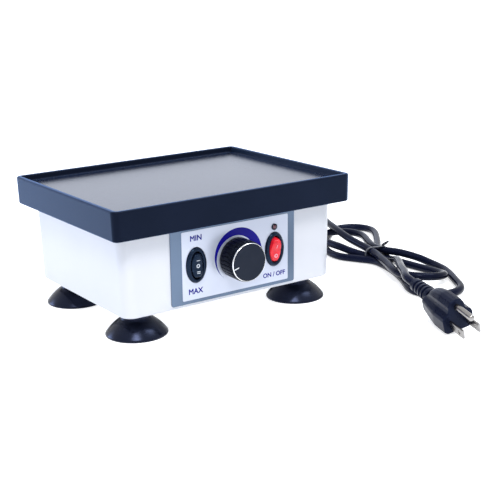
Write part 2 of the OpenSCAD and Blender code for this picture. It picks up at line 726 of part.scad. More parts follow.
board_z = base_top + standoff_h;
board_top = board_z + board_t;
board_x = -18;                                 // middle of the board
board_y = body_w / 2 - 26;                      // kept off the back wall
standoff_spots = [for (x = [-1, 1], y = [-1, 1])
  [board_x + x * (board_l / 2 - 4), board_y + y * (board_w / 2 - 4)]];

module control_board() color("#2f6b46") difference() {
  translate([board_x, board_y, board_z]) linear_extrude(board_t)
    square([board_l, board_w], center = true);
  at(standoff_spots) translate([0, 0, board_z - 1]) cylinder(d = screw_d + 0.2, h = board_t + 2);
}

module board_standoffs() color("#d9b45a") at(standoff_spots) translate([0, 0, base_top])
  tube(6, screw_d + 0.1, standoff_h);

module board_screws() color("silver") at(standoff_spots) translate([0, 0, board_top])
  pan_screw(screw_d, board_t + standoff_h + base_t, screw_head[0], screw_head[1]);

// Heat sink: an upright comb, with the triac against its flat back
sink_w = 24;
sink_deep = 14;
sink_h = 22;
sink_back = 3;
fin_t = 1.6;
fins = 5;
sink_x = board_x - 21;
sink_y = board_y - 5;                          // flat side of the heat sink

module heat_sink() color("#8e959c") translate([sink_x, sink_y, board_top]) {
  translate([-sink_w / 2, 0, 0]) cube([sink_w, sink_back, sink_h]);
  for (i = [0:fins - 1]) translate([-sink_w / 2 + i * (sink_w - fin_t) / (fins - 1), sink_back - eps, 0])
    cube([fin_t, sink_deep - sink_back, sink_h]);
}

triac_w = 10;
triac_t = 4.5;
triac_h = 15;
triac_legs = 4;

module triac() color("#24262b") translate([sink_x, sink_y - triac_t / 2, board_top]) {
  translate([0, 0, triac_legs + triac_h / 2]) cube([triac_w, triac_t, triac_h], center = true);
  for (x = [-2.5, 0, 2.5]) translate([x, 0, (triac_legs + eps) / 2])
    cube([1, 0.6, triac_legs + eps], center = true);
}

module capacitors() {
  color("#3a6ea8") translate([board_x + 24, board_y + 6, board_top + 7]) cube([18, 8, 14], center = true);
  color("#2a2d33") translate([board_x + 4, board_y + 7, board_top]) cylinder(d = 10, h = 16);
}

fuse_d = 5.2;
fuse_l = 20;

module fuse() color("#dfe6ea") translate([board_x + 22, board_y - 8, board_top]) {
  translate([0, 0, fuse_d / 2 + 1.4]) rotate([0, 90, 0]) cylinder(d = fuse_d, h = fuse_l, center = true);
  for (x = [-1, 1]) translate([x * (fuse_l / 2 - 2.5), 0, 2.2])
    cube([4, fuse_d + 1.6, 4.4], center = true);
}

block = [34, 14, 12];
block_spot = [body_l / 2 - 35.5, body_w / 2 - 40];
earth_spot = [body_l / 2 - 52.5, body_w / 2 - 18];

module terminal_block() color("#e9e6dc") translate([block_spot.x, block_spot.y, base_top]) difference() {
  translate([-block.x / 2, -block.y / 2, 0]) cube(block);
  translate([0, 0, -1]) cylinder(d = screw_d + 0.2, h = block.z + 2);
  for (x = [-11, 11]) translate([x, 0, block.z - 4]) cylinder(d = 5, h = 5);
}

module earth_screw() color("#c9a24a") translate([earth_spot.x, earth_spot.y, base_top]) {
  difference() {
    union() {
      cylinder(d = 7, h = 0.8);
      translate([-2, 0, 0]) cube([4, 9, 0.8]);
    }
    translate([0, 0, -1]) cylinder(d = screw_d, h = 3);
  }
  translate([0, 0, 0.8]) pan_screw(screw_d, 0.8 + base_t, screw_head[0], screw_head[1]);
}

// ---- wiring, as bent by hand; each end stops at what it is soldered or clamped to ----
sheath_in = 8;                                 // sheath, inside the strain relief
sheath_end = [relief_x, wall_y(relief_z) - wall - relief_flange - sheath_in, relief_z + 0.4];
wire_gap = 0.25;
block_back = block_spot.y + block.y / 2 + wire_gap;
block_front = block_spot.y - block.y / 2 - wire_gap;
wire_z = base_top + 7;                         // height of the clamps in the terminal block
lay_z = base_top + 2.6;                        // wires lying on the base plate
wire_land = board_top + wire_gap;              // wires that end on the board
tag_end = -wall_y(control_z) - case_back + tag_l + 1.2;   // behind the solder tags

function from_sheath(k) =
  sheath_end + [spread_wires[k][0], -3 * wire_gap, spread_wires[k][1]];

cord_clamps = [11, 1];                         // clamps of the mains cord, from the block's middle
feed_clamps = [9, -8];                         // clamps that feed the power switch
clamp_run = 5;                                 // straight wire in front of a clamp
lug = 9;                                       // length of the lug under the earth screw
lug_rise = 3;
earth_sweep = [6, 8, 10];                      // how far the earth wire swings out
slack = 5;                                     // straight stretch before a wire bends
spread_wires = [[2, 1], [4, -2], [0, -1.6], [-2, -4], [-2.2, 1], [-7, 0]];

// The bends of each wire between its two ends
end_live = [block_spot.x + cord_clamps[0], block_back, wire_z];
end_neutral = [block_spot.x + cord_clamps[1], block_back, wire_z];
bend_live = end_live + [0, clamp_run, 1];
bend_neutral = end_neutral + [0, clamp_run, 1];
end_earth = [earth_spot.x, earth_spot.y + lug + wire_gap, base_top + 1];
over_earth = end_earth + [0, 2.5 - wire_gap, lug_rise];
bend_earth = [earth_spot.x, earth_spot.y, base_top] + earth_sweep;

module mains_wires() color("#7a4a2c") {
  wire([from_sheath(0), from_sheath(1) - [0, slack, 0], bend_live, end_live]);
  wire([from_sheath(2), from_sheath(3) - [0, slack, 0], bend_neutral, end_neutral]);
  wire([from_sheath(4), from_sheath(5) - [0, slack - 2, 0], bend_earth, over_earth, end_earth]);
}

FEED_LIVE = [[64, 8, lay_z], [58, -24, lay_z], [44, -36, 38]];
FEED_NEUTRAL = [[52, 4, lay_z], [50, -22, lay_z], [40, -34, 33]];
SWITCHED = [[41, -32, 45], [47, -14, 36], [46, 12, 34], [30, 26, 38]];
SPEED_A = [[-44, -35, 50], [-55, -14, 36], [-53, 14, 36]];
SPEED_B = [[-41, -35, 36], [-51, -14, 31], [-48, 14, 34]];
POT_A = [[-6, -50, 32], [-30, -36, lay_z], [-47.5, -16, lay_z], [-47.5, 10, lay_z + 2]];
POT_B = [[2, -46, 30], [-30, -31, lay_z + 1], [-43, -18, lay_z + 2], [-42.6, 10, lay_z + 3]];
tag_rise = 1;                                  // a wire meets its tag this much above the middle

function clamp_out(k) = [for (run = [0, clamp_run - 1])
  [block_spot.x + feed_clamps[k], block_front - run, wire_z]];

function on_tag(x, k) = [x, tag_end, control_z + tag_spots[k] + tag_rise];

module control_wires() color("#8a2f2f") {
  // terminal block to the power switch
  wire(concat(clamp_out(0), FEED_LIVE, [on_tag(lamp_x, 2)]));
  wire(concat(clamp_out(1), FEED_NEUTRAL, [on_tag(lamp_x, 0)]));
  // power switch to the board
  wire(concat([on_tag(lamp_x, 1)], SWITCHED, [board_end(28, -14, 6), board_end(28, -14, 0)]));
  // speed switch to the board
  wire(concat([on_tag(hole_x[0], 2)], SPEED_A, [board_end(-29, -11, 5), board_end(-29, -11, 0)]));
  wire(concat([on_tag(hole_x[0], 0)], SPEED_B, [board_end(-24, -14, 5), board_end(-24, -14, 0)]));
  // potentiometer to the board
  wire(concat([[knob_x - 4, pot_y, pot_tag_z]], POT_A, [[board_x - 26, board_front, board_z + 0.8]]));
  wire(concat([[knob_x + 4, pot_y, pot_tag_z]], POT_B, [[board_x - 21, board_front, board_z + 0.8]]));
}

board_front = board_y - board_w / 2 - 2 * wire_gap;

// A point over the board, where a wire ends or comes down to it
function board_end(dx, dy, dz) = [board_x + dx, board_y + dy, wire_land + dz];
pot_y = -wall_y(control_z) - pot_front + 2;
pot_tag_z = control_z - pot_d / 2 - 5;

module coil_wires() color("#2c2f36") for (x = [-12, -4])
  wire([[x, core_stack / 2 + coil_side + wire_gap, bobbin_z + bobbin_h - 4],
    [x, core_stack / 2 + coil_side + 5, bobbin_z + bobbin_h - 6], [x, board_y - 15, 42],
    [x, board_y - 14, wire_land]], 1.4);

// =============================== cord ===============================

relief_end_d = cord_d + 1.8;

module strain_relief() color("#15181e") on_back(relief_x, relief_z) difference() {
  union() {
    translate([0, 0, -wall - relief_flange - 0.05]) cylinder(d = relief_d, h = relief_flange);
    translate([0, 0, -wall - relief_flange - sheath_in]) cylinder(d = cord_d, h = sheath_in);
    translate([0, 0, -wall - 0.1]) cylinder(d = relief_hole - 0.1, h = wall + 0.2);
    cylinder(d = relief_d, h = 2.5);
    translate([0, 0, 2.4]) cylinder(d1 = relief_hole, d2 = relief_end_d, h = relief_out - 2.4);
  }
  for (z = [5.5:3.2:relief_out - 2]) translate([0, 0, z]) rotate_extrude()
    translate([relief_hole / 2 + 0.1 - (relief_hole - relief_end_d) / 2 * z / relief_out, 0])
      circle(0.7, $fn = 16);
}

relief_tip = [relief_x, wall_y(relief_z), relief_z] + relief_out * [0, cos(draft_a), -sin(draft_a)];

// From the strain relief the cord drops to the bench behind the housing and comes round to
// the right-hand side, where it climbs on to the hank that the rest of it is tied in
LEAD = [
  relief_tip + [0, 0.15, 0], relief_tip + [0, 14.6, -1], [63, 118.5, 27.4], [68, 129.5, 19.7],
  [75.5, 139.5, 12.3], [88.5, 149, 6], [102, 153, 3.8], [119.5, 155, 3.3], [134, 155, 3.3],
  [148.5, 155, 3.3], [166, 154.5, 3.3], [180, 151.5, 3.3], [193.5, 145.5, 3.3], [205.5, 135, 3.9],
  [211.5, 121.5, 6.4], [210.5, 107.5, 10.9], [205, 92, 15.4], [199.5, 78.5, 16.6],
  [193.5, 65, 16.7], [187.5, 49, 16.6]
];

module cord_lead() color("#1b1e26") swept(smooth_line(LEAD, 3), cord_d, 10);

// The hank is wide where its loops open, and narrow where it is tied
tie_spot = [180.5, -18];
tie_a = -16.5;                                 // from +Y, the way the hank runs
neck = [20.4, 8, 12.2];                        // bundle in the tie: width, length, height
hank_z = 1;

module hank_neck() translate(tie_spot) rotate(tie_a) square([neck.x, neck.y], center = true);

// An end of the neck, where the loops begin to open
module hank_end(side) translate(tie_spot) rotate(tie_a)
  translate([0, side * neck.y / 2]) square([neck.x, 2 * eps], center = true);

module cord_hank() color("#20232c") translate([0, 0, hank_z]) linear_extrude(neck.z) {
  hull() {
    translate([226, 68]) circle(20.5);
    translate([184, 36]) circle(24);
    translate([168, 14]) circle(10.5);
    hank_end(1);
  }
  hank_neck();
  hull() {
    hank_end(-1);
    translate([188, -66]) circle(21);
    translate([161, -108]) circle(23);
    translate([166, -80]) circle(18);
  }
}

tie_w = 2.4;
tie_t = 0.8;
tie_end = [2.4, 7];                            // its twisted ends: thickness, length

module cord_tie() color("#101216") {
  translate([tie_spot.x, tie_spot.y, hank_z]) rotate([90, 0, tie_a]) linear_extrude(tie_w, center = true)
    difference() {
      translate([-neck.x / 2 - tie_t, -tie_t]) square([neck.x + 2 * tie_t, neck.z + 2 * tie_t]);
      translate([-neck.x / 2 - 0.02, -0.02]) square([neck.x + 0.04, neck.z + 0.04]);
    }
  translate([tie_spot.x + 6, tie_spot.y, hank_z + neck.z + tie_t + tie_end[0] / 8]) rotate([30, 50, 0])
    cylinder(d = tie_end[0], h = tie_end[1]);
}

plug_spot = [105, -190, 9.2];                  // middle between the roots of the blades
plug_turn = [97, -14, -15];
plug_l = 36;
plug_relief_l = 24;
pin_up = 11.9;                                 // earth pin, above the blades
relief_up = 4;                                 // middle of the cord's entry, above the blades
plug_face_round = 1.5;
PLUG_FACE = [[-10, -5.5], [10, -5.5], [10.5, 5], [6, 16], [-6, 16], [-10.5, 5]];   // its corners

module on_plug() translate(plug_spot) rotate(plug_turn) children();

module plug_section(size) for (p = PLUG_FACE)
  translate([p.x * size, relief_up + (p.y - relief_up) * size]) circle(plug_face_round, $fn = 16);

module plug_body() color("#1b1e28") on_plug() difference() {
  union() {
    hull() {
      translate([0, 0, -0.45 * plug_l]) linear_extrude(0.45 * plug_l) hull() plug_section(1);
      translate([0, 0, -plug_l]) linear_extrude(1) hull() plug_section(0.7);
    }
    translate([0, relief_up, -plug_l - plug_relief_l]) cylinder(d1 = 9.5, d2 = 12, h = plug_relief_l + 1);
  }
  for (z = [4:4.5:18]) translate([0, relief_up, -plug_l - z]) rotate_extrude()
    translate([6.2 - 0.06 * z, 0]) circle(1, $fn = 16);
}

module plug_pins() color("silver") on_plug() {
  for (s = [-1, 1]) translate([s * blade_pitch / 2 - 0.75, -3.2, 0.02]) difference() {
    cube([1.5, 6.4, blade_l]);
    translate([-1, 3.2, blade_l - 4.5]) rotate([0, 90, 0]) cylinder(d = 3, h = 4);
  }
  translate([0, pin_up, 0.02]) cylinder(d = 4.8, h = blade_l + 1.8);
  translate([0, pin_up, blade_l + 1.82]) sphere(d = 4.8);
}

// The last of the cord rises from the hank to the plug
plug_entry = [117.7, -132.1, 20.2];            // where it meets the plug's own sleeve
TAIL = [
  [157, -71.5, 16.5], [149.5, -81, 17.6], [140.5, -92.5, 19.4], [131, -106, 21],
  [121, -119.5, 21.7], plug_entry
];

module cord_tail() color("#1b1e26") swept(smooth_line(TAIL, 3), cord_d, 10);

rubber_tray();
table_plate();
guide_bolts();
guide_washers();
guide_nuts();
coil_springs();
armature();
armature_spacers();
armature_screws();
housing();
base_plate();
base_screws();
foot_front_left();
foot_front_right();
foot_back_left();
foot_back_right();
foot_studs();
foot_nuts();
panel_plate();
panel_label();
lamp_holder();
lamp_lens();
speed_switch_case();
speed_switch_terminals();
speed_rocker();
power_switch_case();
power_switch_terminals();
power_rocker();
pot_case();
pot_nut();
pot_shaft();
knob_body();
knob_ring();
knob_face();
magnet_bracket();
bracket_screws();
clamp_bolts();
magnet_core();
coil_bobbin();
coil_winding();
control_board();
board_standoffs();
board_screws();
heat_sink();
triac();
capacitors();
fuse();
terminal_block();
earth_screw();
mains_wires();
control_wires();
coil_wires();
strain_relief();
cord_lead();
cord_hank();
cord_tail();
cord_tie();
plug_body();
plug_pins();
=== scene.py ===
# %% [markdown]
# # A small laboratory vibrating table
# A rubber tray rides on springs over a white enamelled housing. An electromagnet inside shakes
# it, a panel on the front sets how hard, and four suction cups hold it to the bench.
# The CAD model is loaded first and never moved: its nodes say where everything is. Each step
# below either gives a CAD node its finish, or builds a finer piece in the node's own place.

import math

import bmesh
import bpy
from mathutils import Matrix, Vector


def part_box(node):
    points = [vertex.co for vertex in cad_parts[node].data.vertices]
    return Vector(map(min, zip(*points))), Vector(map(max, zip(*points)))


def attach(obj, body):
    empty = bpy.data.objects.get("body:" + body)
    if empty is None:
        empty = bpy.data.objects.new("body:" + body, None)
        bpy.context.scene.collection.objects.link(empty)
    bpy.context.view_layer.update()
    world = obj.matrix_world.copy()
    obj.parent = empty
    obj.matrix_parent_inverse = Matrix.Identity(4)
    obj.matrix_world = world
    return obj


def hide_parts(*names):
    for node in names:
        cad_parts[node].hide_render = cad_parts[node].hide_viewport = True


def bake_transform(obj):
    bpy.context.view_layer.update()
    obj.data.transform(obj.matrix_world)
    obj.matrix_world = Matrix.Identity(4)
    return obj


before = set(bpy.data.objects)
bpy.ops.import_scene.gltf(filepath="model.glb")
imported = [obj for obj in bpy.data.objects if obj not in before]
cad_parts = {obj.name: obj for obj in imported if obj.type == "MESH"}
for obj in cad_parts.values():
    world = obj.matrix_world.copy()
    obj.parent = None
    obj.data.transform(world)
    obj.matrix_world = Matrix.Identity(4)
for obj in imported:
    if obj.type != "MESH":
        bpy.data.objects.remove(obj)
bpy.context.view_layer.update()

# %% [markdown]
# ## Units, places and small tools
# Sizes are easier to read in millimetres, and Blender works in metres, so every size passes
# through MM once. The control panel leans by the draft of the housing, so what sits on it is
# built flat, with Z out of the panel, and then carried over by one matrix.

# %% Units and the leaning panel
MM = 0.001
BODY_L, BODY_W, BODY_BOTTOM, DECK_TOP = 181, 142, 18.4, 81
DRAFT, WALL = 1.5, 2.5
CONTROL_Z = 48.5
KNOB_X = 0.5
SWITCH_X = [-33.2, 34.2]
LAMP = (34.2, 65.4)
CORD_EXIT = (60, 36)
FACE = 1.2  # face of the printed field, out of the housing
LEAN = math.atan(DRAFT / (DECK_TOP - BODY_BOTTOM))


def placed(name, data):
    piece = bpy.data.objects.new(name, data)
    bpy.context.scene.collection.objects.link(piece)
    return piece


def shift(x, y, z):
    return Matrix.Translation(Vector((x, y, z)) * MM)


def spin(degrees, axis):
    return Matrix.Rotation(math.radians(degrees), 4, axis)


def around(radius, angle, across=None):
    """A point on a circle, or on an oval where the radius across is another one."""
    return radius * math.cos(angle), (across or radius) * math.sin(angle)


def on_wall(side, x, z):
    """A place on the leaning front, side -1, or back, side 1, with Z out of it."""
    out = BODY_W / 2 - DRAFT * (DECK_TOP - z) / (DECK_TOP - BODY_BOTTOM)
    return shift(x, side * out, z) @ Matrix.Rotation(-side * (math.pi / 2 + LEAN), 4, "X")


def on_front(x, z):
    return on_wall(-1, x, z)


print("panel leans", round(math.degrees(LEAN), 2), "degrees")

# %% [markdown]
# ## The camera
# The camera stands left of the middle and a little above the tray. A long lens keeps the
# sides of the housing nearly parallel.

# %% Camera
AZIMUTH, ELEVATION, ROLL = -34.446, 15.354, -1.289
FOCAL_PX, FRAME_PX, SENSOR = 1101.268, 502, 36

lens = bpy.data.cameras.new("camera")
lens.sensor_width = SENSOR
lens.lens = FOCAL_PX * SENSOR / FRAME_PX
camera = placed("camera", lens)
camera.matrix_world = (shift(-420.054, -703.579, 260.991) @ spin(AZIMUTH, "Z")
                       @ spin(90 - ELEVATION, "X") @ spin(ROLL, "Z"))
bpy.context.scene.camera = camera
print("lens", round(lens.lens, 1), "mm")

# %% [markdown]
# ## Finishes
# No real surface is one flat colour. Each finish below starts from one colour and adds a
# slow drift of tone, a fine grain in the gloss and a very small bump, all from noise that is
# fixed to the piece's own coordinates, so that it stays put when the piece moves. Values that
# are the same everywhere, such as coat or metallic, sit directly on the shader.

# %% A finish from noise
MICRON = 0.000001


def link(source, target):
    source.id_data.links.new(source, target)


def fix(node, values):
    """Sets the node's inputs, named with _ for a space."""
    for socket, value in values.items():
        node.inputs[socket.replace("_", " ")].default_value = value


def add(tree, kind, **values):
    node = tree.nodes.new(kind)
    fix(node, values)
    return node


def feed(node, *sources):
    """Links the sources to the node's first inputs, and gives its first output."""
    for source, target in zip(sources, node.inputs):
        link(source, target)
    return node.outputs[0]


def new_material(name):
    material = bpy.data.materials.new(name)
    material.use_nodes = True
    tree = material.node_tree
    return material, tree, tree.nodes["Principled BSDF"]


def noise(tree, scale, detail=3.0, stretch=(1, 1, 1)):
    where = add(tree, "ShaderNodeTexCoord")
    mapping = add(tree, "ShaderNodeMapping", Scale=stretch)
    texture = add(tree, "ShaderNodeTexNoise", Scale=scale, Detail=detail)
    return feed(texture, feed(mapping, where.outputs["Object"]))


def ranged(tree, value, low, high):
    """Noise seldom leaves 0.3 to 0.7, so that span is stretched from low to high."""
    return feed(add(tree, "ShaderNodeMapRange", From_Min=0.3, From_Max=0.7, To_Min=low,
                    To_Max=high), value)


def worn(tree, shader, colour, drift, slow, rough, spread, fine, depth):
    """Slow noise shifts the colour by the drift, a share. Fine noise shifts the gloss by the
    spread and lifts the surface by the depth in microns."""
    mix = add(tree, "ShaderNodeMix")
    mix.data_type = "RGBA"
    for k, side in ((6, -1), (7, 1)):  # 6, 7 and output 2 are the colour sockets
        mix.inputs[k].default_value = (*[min(c * (1 + side * drift), 1) for c in colour], 1)
    link(ranged(tree, slow, 0, 1), mix.inputs[0])
    link(mix.outputs[2], shader.inputs["Base Color"])
    link(ranged(tree, fine, rough * (1 - spread), min(rough * (1 + spread), 1)),
         shader.inputs["Roughness"])
    if depth:
        bump = add(tree, "ShaderNodeBump", Strength=1, Distance=depth * MICRON)
        link(fine, bump.inputs["Height"])
        link(bump.outputs["Normal"], shader.inputs["Normal"])


def finish(name, colour, rough, drift=0.12, grain=900, depth=20, stretch=(1, 1, 1),
           drift_scale=25, **fixed):
    """A material from a slow noise of scale drift_scale and a fine one of scale grain."""
    material, tree, shader = new_material(name)
    worn(tree, shader, colour, drift, noise(tree, drift_scale, 2), rough, 0.12,
         noise(tree, grain, 3, stretch), depth)
    fix(shader, fixed)
    return material


print("finish() ready")

# %% [markdown]
# ## Wearing a finish
# One call gives a piece its material and prints the slot that it wears.

# %% Dressing a piece
def dress(piece, material, slot):
    piece.data.materials.clear()
    piece.data.materials.append(material)
    if piece.type == "MESH":
        faces = len(piece.data.polygons)
        piece.data.polygons.foreach_set("material_index", [0] * faces)
        print(piece.name, "in", slot, "with", faces, "faces")
    return piece


def inside(slot, names, *look, **values):
    """A finish named after its slot, on the CAD nodes that wear it."""
    material = finish(slot, *look, **values)
    for name in names:
        dress(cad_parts[name], material, slot)
    return material


# %% [markdown]
# ## The cord
# A mains cord is a fixed length of something springy. It leaves the strain relief at the
# back, drops to the bench, comes round to the right and runs in and out of a loose hank that
# a wire tie gathers. The route is a given list of points. A Catmull-Rom curve passes
# through each of them and keeps the folds round.

# %% The route
CORD_D = 6.4
BENCH = 3.3  # height of a point that is given without one
ROUTE = [
    # from the strain relief to the bench and round to the right
    (60, 88.6, 35.5), (60, 103.2, 34.5), (63, 118.5, 27.4), (68, 129.5, 19.7),
    (75.5, 139.5, 12.3), (88.5, 149, 6), (102, 153, 3.8), (119.5, 155), (134, 155), (148.5, 155),
    (166, 154.5), (180, 151.5), (193.5, 145.5), (205.5, 135, 3.9), (211.5, 121.5, 6.4),
    (210.5, 107.5, 10.9), (205, 92, 15.4), (199.5, 78.5, 16.6), (193.5, 65, 16.7),
    (187.5, 49, 16.6),
    # over the back loops, through the tie and into the first front fold
    (183, 35, 15.7), (180, 18, 13.6), (179, 4, 11.9), (177.3, -10.5, 10.8), (173, -27, 10),
    (167, -40.5, 9.9), (161, -54, 9.8), (154.5, -67, 9.8), (151.5, -78, 9.8), (153, -88, 9.8),
    (160, -96.5, 9.5), (170.5, -100, 8.4), (181, -97.5, 7), (188, -90, 5), (190.5, -80, 3.8),
    (190.5, -65), (189, -47), (187.2, -28, 3.6),
    # the long back loop
    (189.5, -14, 3.7), (197, -2, 3.4), (207.5, 12), (217, 23.5), (227, 36), (236.5, 49),
    (241.5, 60), (241, 71), (234.5, 80), (224, 84), (213.5, 82), (205, 75.5), (196, 67.5),
    (187, 59.5), (176.5, 48.5), (167, 35), (161, 21), (160.5, 6.5), (166.5, -8.5, 3.6),
    # the long front loop
    (172.5, -22, 3.7), (172, -36), (167, -53), (161.5, -66), (155, -79), (149, -89), (144.2, -98),
    (142.3, -107), (145, -117), (152, -124.5), (162, -127.2), (172, -124.5), (179, -118),
    (184.5, -109), (190.5, -99), (196.5, -88.5), (202, -75.5, 3.4), (204, -60, 4.2),
    (200, -46.5, 7.2), (192.5, -33, 9.8), (186.2, -18, 10.1),
    # the short back loop
    (188.5, -3.5, 9.9), (196, 12, 9.9), (203, 25, 9.9), (206, 36, 9.9), (204.3, 46.5, 9.9),
    (197, 54.5, 9.9), (187, 57, 9.9), (177, 54.5, 9.9), (169.5, 47, 9.9), (166.5, 37, 9.9),
    (165.5, 25, 9.9), (166.5, 13, 9.2), (170.5, 0, 6.7),
    # out through the tie and up to the plug
    (178, -13.5, 4), (180.2, -27.5, 4.6), (176, -41.5, 7.8), (168.5, -55, 12.7),
    (160, -67.5, 15.8), (149.5, -81, 17.6), (140.5, -92.5, 19.4), (131, -106, 21),
    (121, -119.5, 21.7), (117.7, -132.1, 20.2),
]
ROUTE = [(*point, BENCH)[:3] for point in ROUTE]
STEPS = 6  # points on the curve for each stretch


def between(a, b, c, d, t):
    return 0.5 * (2 * b + (c - a) * t + (2 * a - 5 * b + 4 * c - d) * t * t
                  + (3 * b - a - 3 * c + d) * t ** 3)


def smooth_line(points, steps):
    p = [Vector(q) for q in points]
    p = [2 * p[0] - p[1]] + p + [2 * p[-1] - p[-2]]
    line = [between(*p[i:i + 4], k / steps) for i in range(len(p) - 3) for k in range(steps)]
    return line + [p[-2]]


line = smooth_line(ROUTE, STEPS)

# %% Cord sheath
cord_rubber = finish("cord_rubber", (0.006, 0.008, 0.023), 0.2, drift=0.25, grain=700,
                     depth=4, IOR=1.18, Specular_Tint=(0.6, 0.7, 1, 1))


def cord_curve(name, points, diameter):
    curve = bpy.data.curves.new(name, "CURVE")
    curve.dimensions = "3D"
    curve.bevel_depth = diameter / 2 * MM
    curve.bevel_resolution = 5
    curve.use_fill_caps = True
    spline = curve.splines.new("POLY")
    spline.points.add(len(points) - 1)
    for target, point in zip(spline.points, points):
        target.co = (*(point * MM), 1)
    spline.use_smooth = True
    return placed(name, curve)


cord = cord_curve("mains_cord", line, CORD_D)
dress(cord, cord_rubber, "cord_black")
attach(cord, "base")
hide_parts("cord_lead", "cord_hank", "cord_tail")

# %% [markdown]
# ## Turning, lofting and sweeping
# Round things, such as the feet and the knob, are a profile turned about an axis. Box-like
# things, such as the tray and the housing, are the same idea with a rounded rectangle in
# place of the circle. Both join rings of points with faces, so rounding an edge is simply
# more rings.

# %% Rings and skins
def smoothed(piece, angle):
    """Smooth shading, with sharp edges where faces meet at more than the angle."""
    mesh = piece.data
    mesh.polygons.foreach_set("use_smooth", [True] * len(mesh.polygons))
    mesh.set_sharp_from_angle(angle=math.radians(angle))
    return piece


def to_mesh(name, verts, faces, smooth_angle):
    mesh = bpy.data.meshes.new(name)
    mesh.from_pydata(verts, [], faces)
    bm = bmesh.new()
    bm.from_mesh(mesh)
    bmesh.ops.remove_doubles(bm, verts=bm.verts, dist=0.000001)
    bmesh.ops.recalc_face_normals(bm, faces=bm.faces)
    bm.to_mesh(mesh)
    bm.free()
    return smoothed(placed(name, mesh), smooth_angle)


def skin(name, rings, caps=True, smooth_angle=35):
    """A skin over rings of equally many points, in mm; caps close both ends."""
    n = len(rings[0])
    verts = [Vector(v) * MM for ring in rings for v in ring]
    faces = [(i * n + k, i * n + (k + 1) % n, (i + 1) * n + (k + 1) % n, (i + 1) * n + k)
             for i in range(len(rings) - 1) for k in range(n)]
    if caps:
        faces.append(tuple(reversed(range(n))))
        faces.append(tuple(range(len(verts) - n, len(verts))))
    return to_mesh(name, verts, faces, smooth_angle)


def eased(profile, radii, steps=5):
    """The profile with each inner corner rounded by its radius."""
    out = [Vector(profile[0])]
    for before, here, after, radius in zip(profile, profile[1:], profile[2:], radii):
        here = Vector(here)
        u, v = Vector(before) - here, Vector(after) - here
        radius = min(radius, 0.45 * u.length, 0.45 * v.length)
        start, end = here + radius * u.normalized(), here + radius * v.normalized()
        if radius < 0.01:
            out.append(here)
            continue
        for k in range(steps + 1):
            t = k / steps
            out.append((1 - t) ** 2 * start + 2 * t * (1 - t) * here + t * t * end)
    return out + [Vector(profile[-1])]


def round_rect(length, width, radius, steps=8):
    radius = max(radius, 0.3)
    points = []
    for sx, sy, start in ((1, 1, 0), (-1, 1, 90), (-1, -1, 180), (1, -1, 270)):
        for k in range(steps + 1):
            x, y = around(radius, math.radians(start + 90 * k / steps))
            points.append((sx * (length / 2 - radius) + x, sy * (width / 2 - radius) + y))
    return points


def boxy(name, length, width, corner, profile, steps=8):
    """A ring-shaped or solid piece whose plan is a rounded rectangle; profile is (inset, z)."""
    return skin(name, [
        [(x, y, p.y)
         for x, y in round_rect(length - 2 * p.x, width - 2 * p.x, corner - p.x, steps)]
        for p in profile])


def oval(width, height, steps=64):
    return [around(width / 2, 2 * math.pi * k / steps, height / 2) for k in range(steps)]


def turned(name, profile, steps=96, caps=True):
    """A profile of (radius, z) turned about Z."""
    return skin(name, [[(*around(r, 2 * math.pi * k / steps), z) for k in range(steps)]
                       for r, z in profile], caps)


def set_in(piece, matrix):
    piece.data.transform(matrix)
    return piece


def weighted(piece):
    """Keeps flat faces flat where they meet a rounding."""
    modifier = piece.modifiers.new("weighted_normals", "WEIGHTED_NORMAL")
    modifier.keep_sharp = True
    return piece


print("rings and skins ready")

# %% [markdown]
# ## The tray
# The tray is moulded from black rubber: a shallow recess with a raised rim, and a skirt that
# hangs down over the housing. Its section is followed once round the plan, from under the
# floor, down the inside of the skirt, up the outside, over the rim and down to the floor.

# %% Tray
tray_lo, tray_hi = (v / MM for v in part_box("rubber_tray"))
TRAY_WALL, RECESS, FLOOR_UNDER, TRAY_DRAFT = 4, 4.5, 7.5, 0.5
SKIRT_LIP = 0.5  # the soft lip under the skirt's moulded edge
rim, skirt = tray_hi.z, tray_lo.z - SKIRT_LIP
tray_profile = eased(
    [(TRAY_WALL, rim - FLOOR_UNDER), (TRAY_WALL, skirt), (TRAY_DRAFT, skirt),
     (0, rim), (TRAY_WALL, rim), (TRAY_WALL, rim - RECESS), (TRAY_WALL + 3, rim - RECESS)],
    [0.5, 1.2, 1.7, 1.3, 1.2])
tray = boxy("tray", tray_hi.x - tray_lo.x, tray_hi.y - tray_lo.y, 5, tray_profile)
dress(weighted(tray), finish(
    "tray_rubber", (0.006, 0.008, 0.018), 0.32, drift=0.12, grain=1500, depth=12, IOR=1.16,
    Specular_Tint=(0.4, 0.6, 1, 1), Sheen_Weight=1, Sheen_Roughness=0.35,
    Sheen_Tint=(0.2, 0.45, 1, 1)), "tray_rubber")
tray.data.materials.append(finish(
    "tray_floor", (0.006, 0.012, 0.034), 0.26, drift=0.1, grain=1500, depth=4, IOR=1.3,
    Coat_Weight=1, Coat_Roughness=0.22, Coat_IOR=1.2))
for polygon in tray.data.polygons:
    if polygon.normal.z > 0.9 and polygon.center.z < (rim - RECESS / 2) * MM:
        polygon.material_index = 1
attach(tray, "table")
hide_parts("rubber_tray")

# %% [markdown]
# ## The housing
# The housing is a deep-drawn box, open below, with white enamel over it. Its walls lean in a
# little towards the bottom, where the edge is rolled under. The deck carries four cups for
# the springs and a window for the magnet, which are added and cut with one Boolean each.

# %% Housing
BODY_CORNER, CUP_D, CUP_WALL, SEAT_Z, SEAT_T = 10.5, 18, 1.8, 67, 2
SWITCH_HOLE, SHAFT_HOLE, LAMP_HOLE, RELIEF_HOLE = (14.4, 23), 7.3, 3.6, 11
GUIDE_HOLE, MAGNET_WINDOW = 5.8, (68, 32)
SPRINGS = [(x, y) for x in (-62, 62) for y in (-46, 46)]


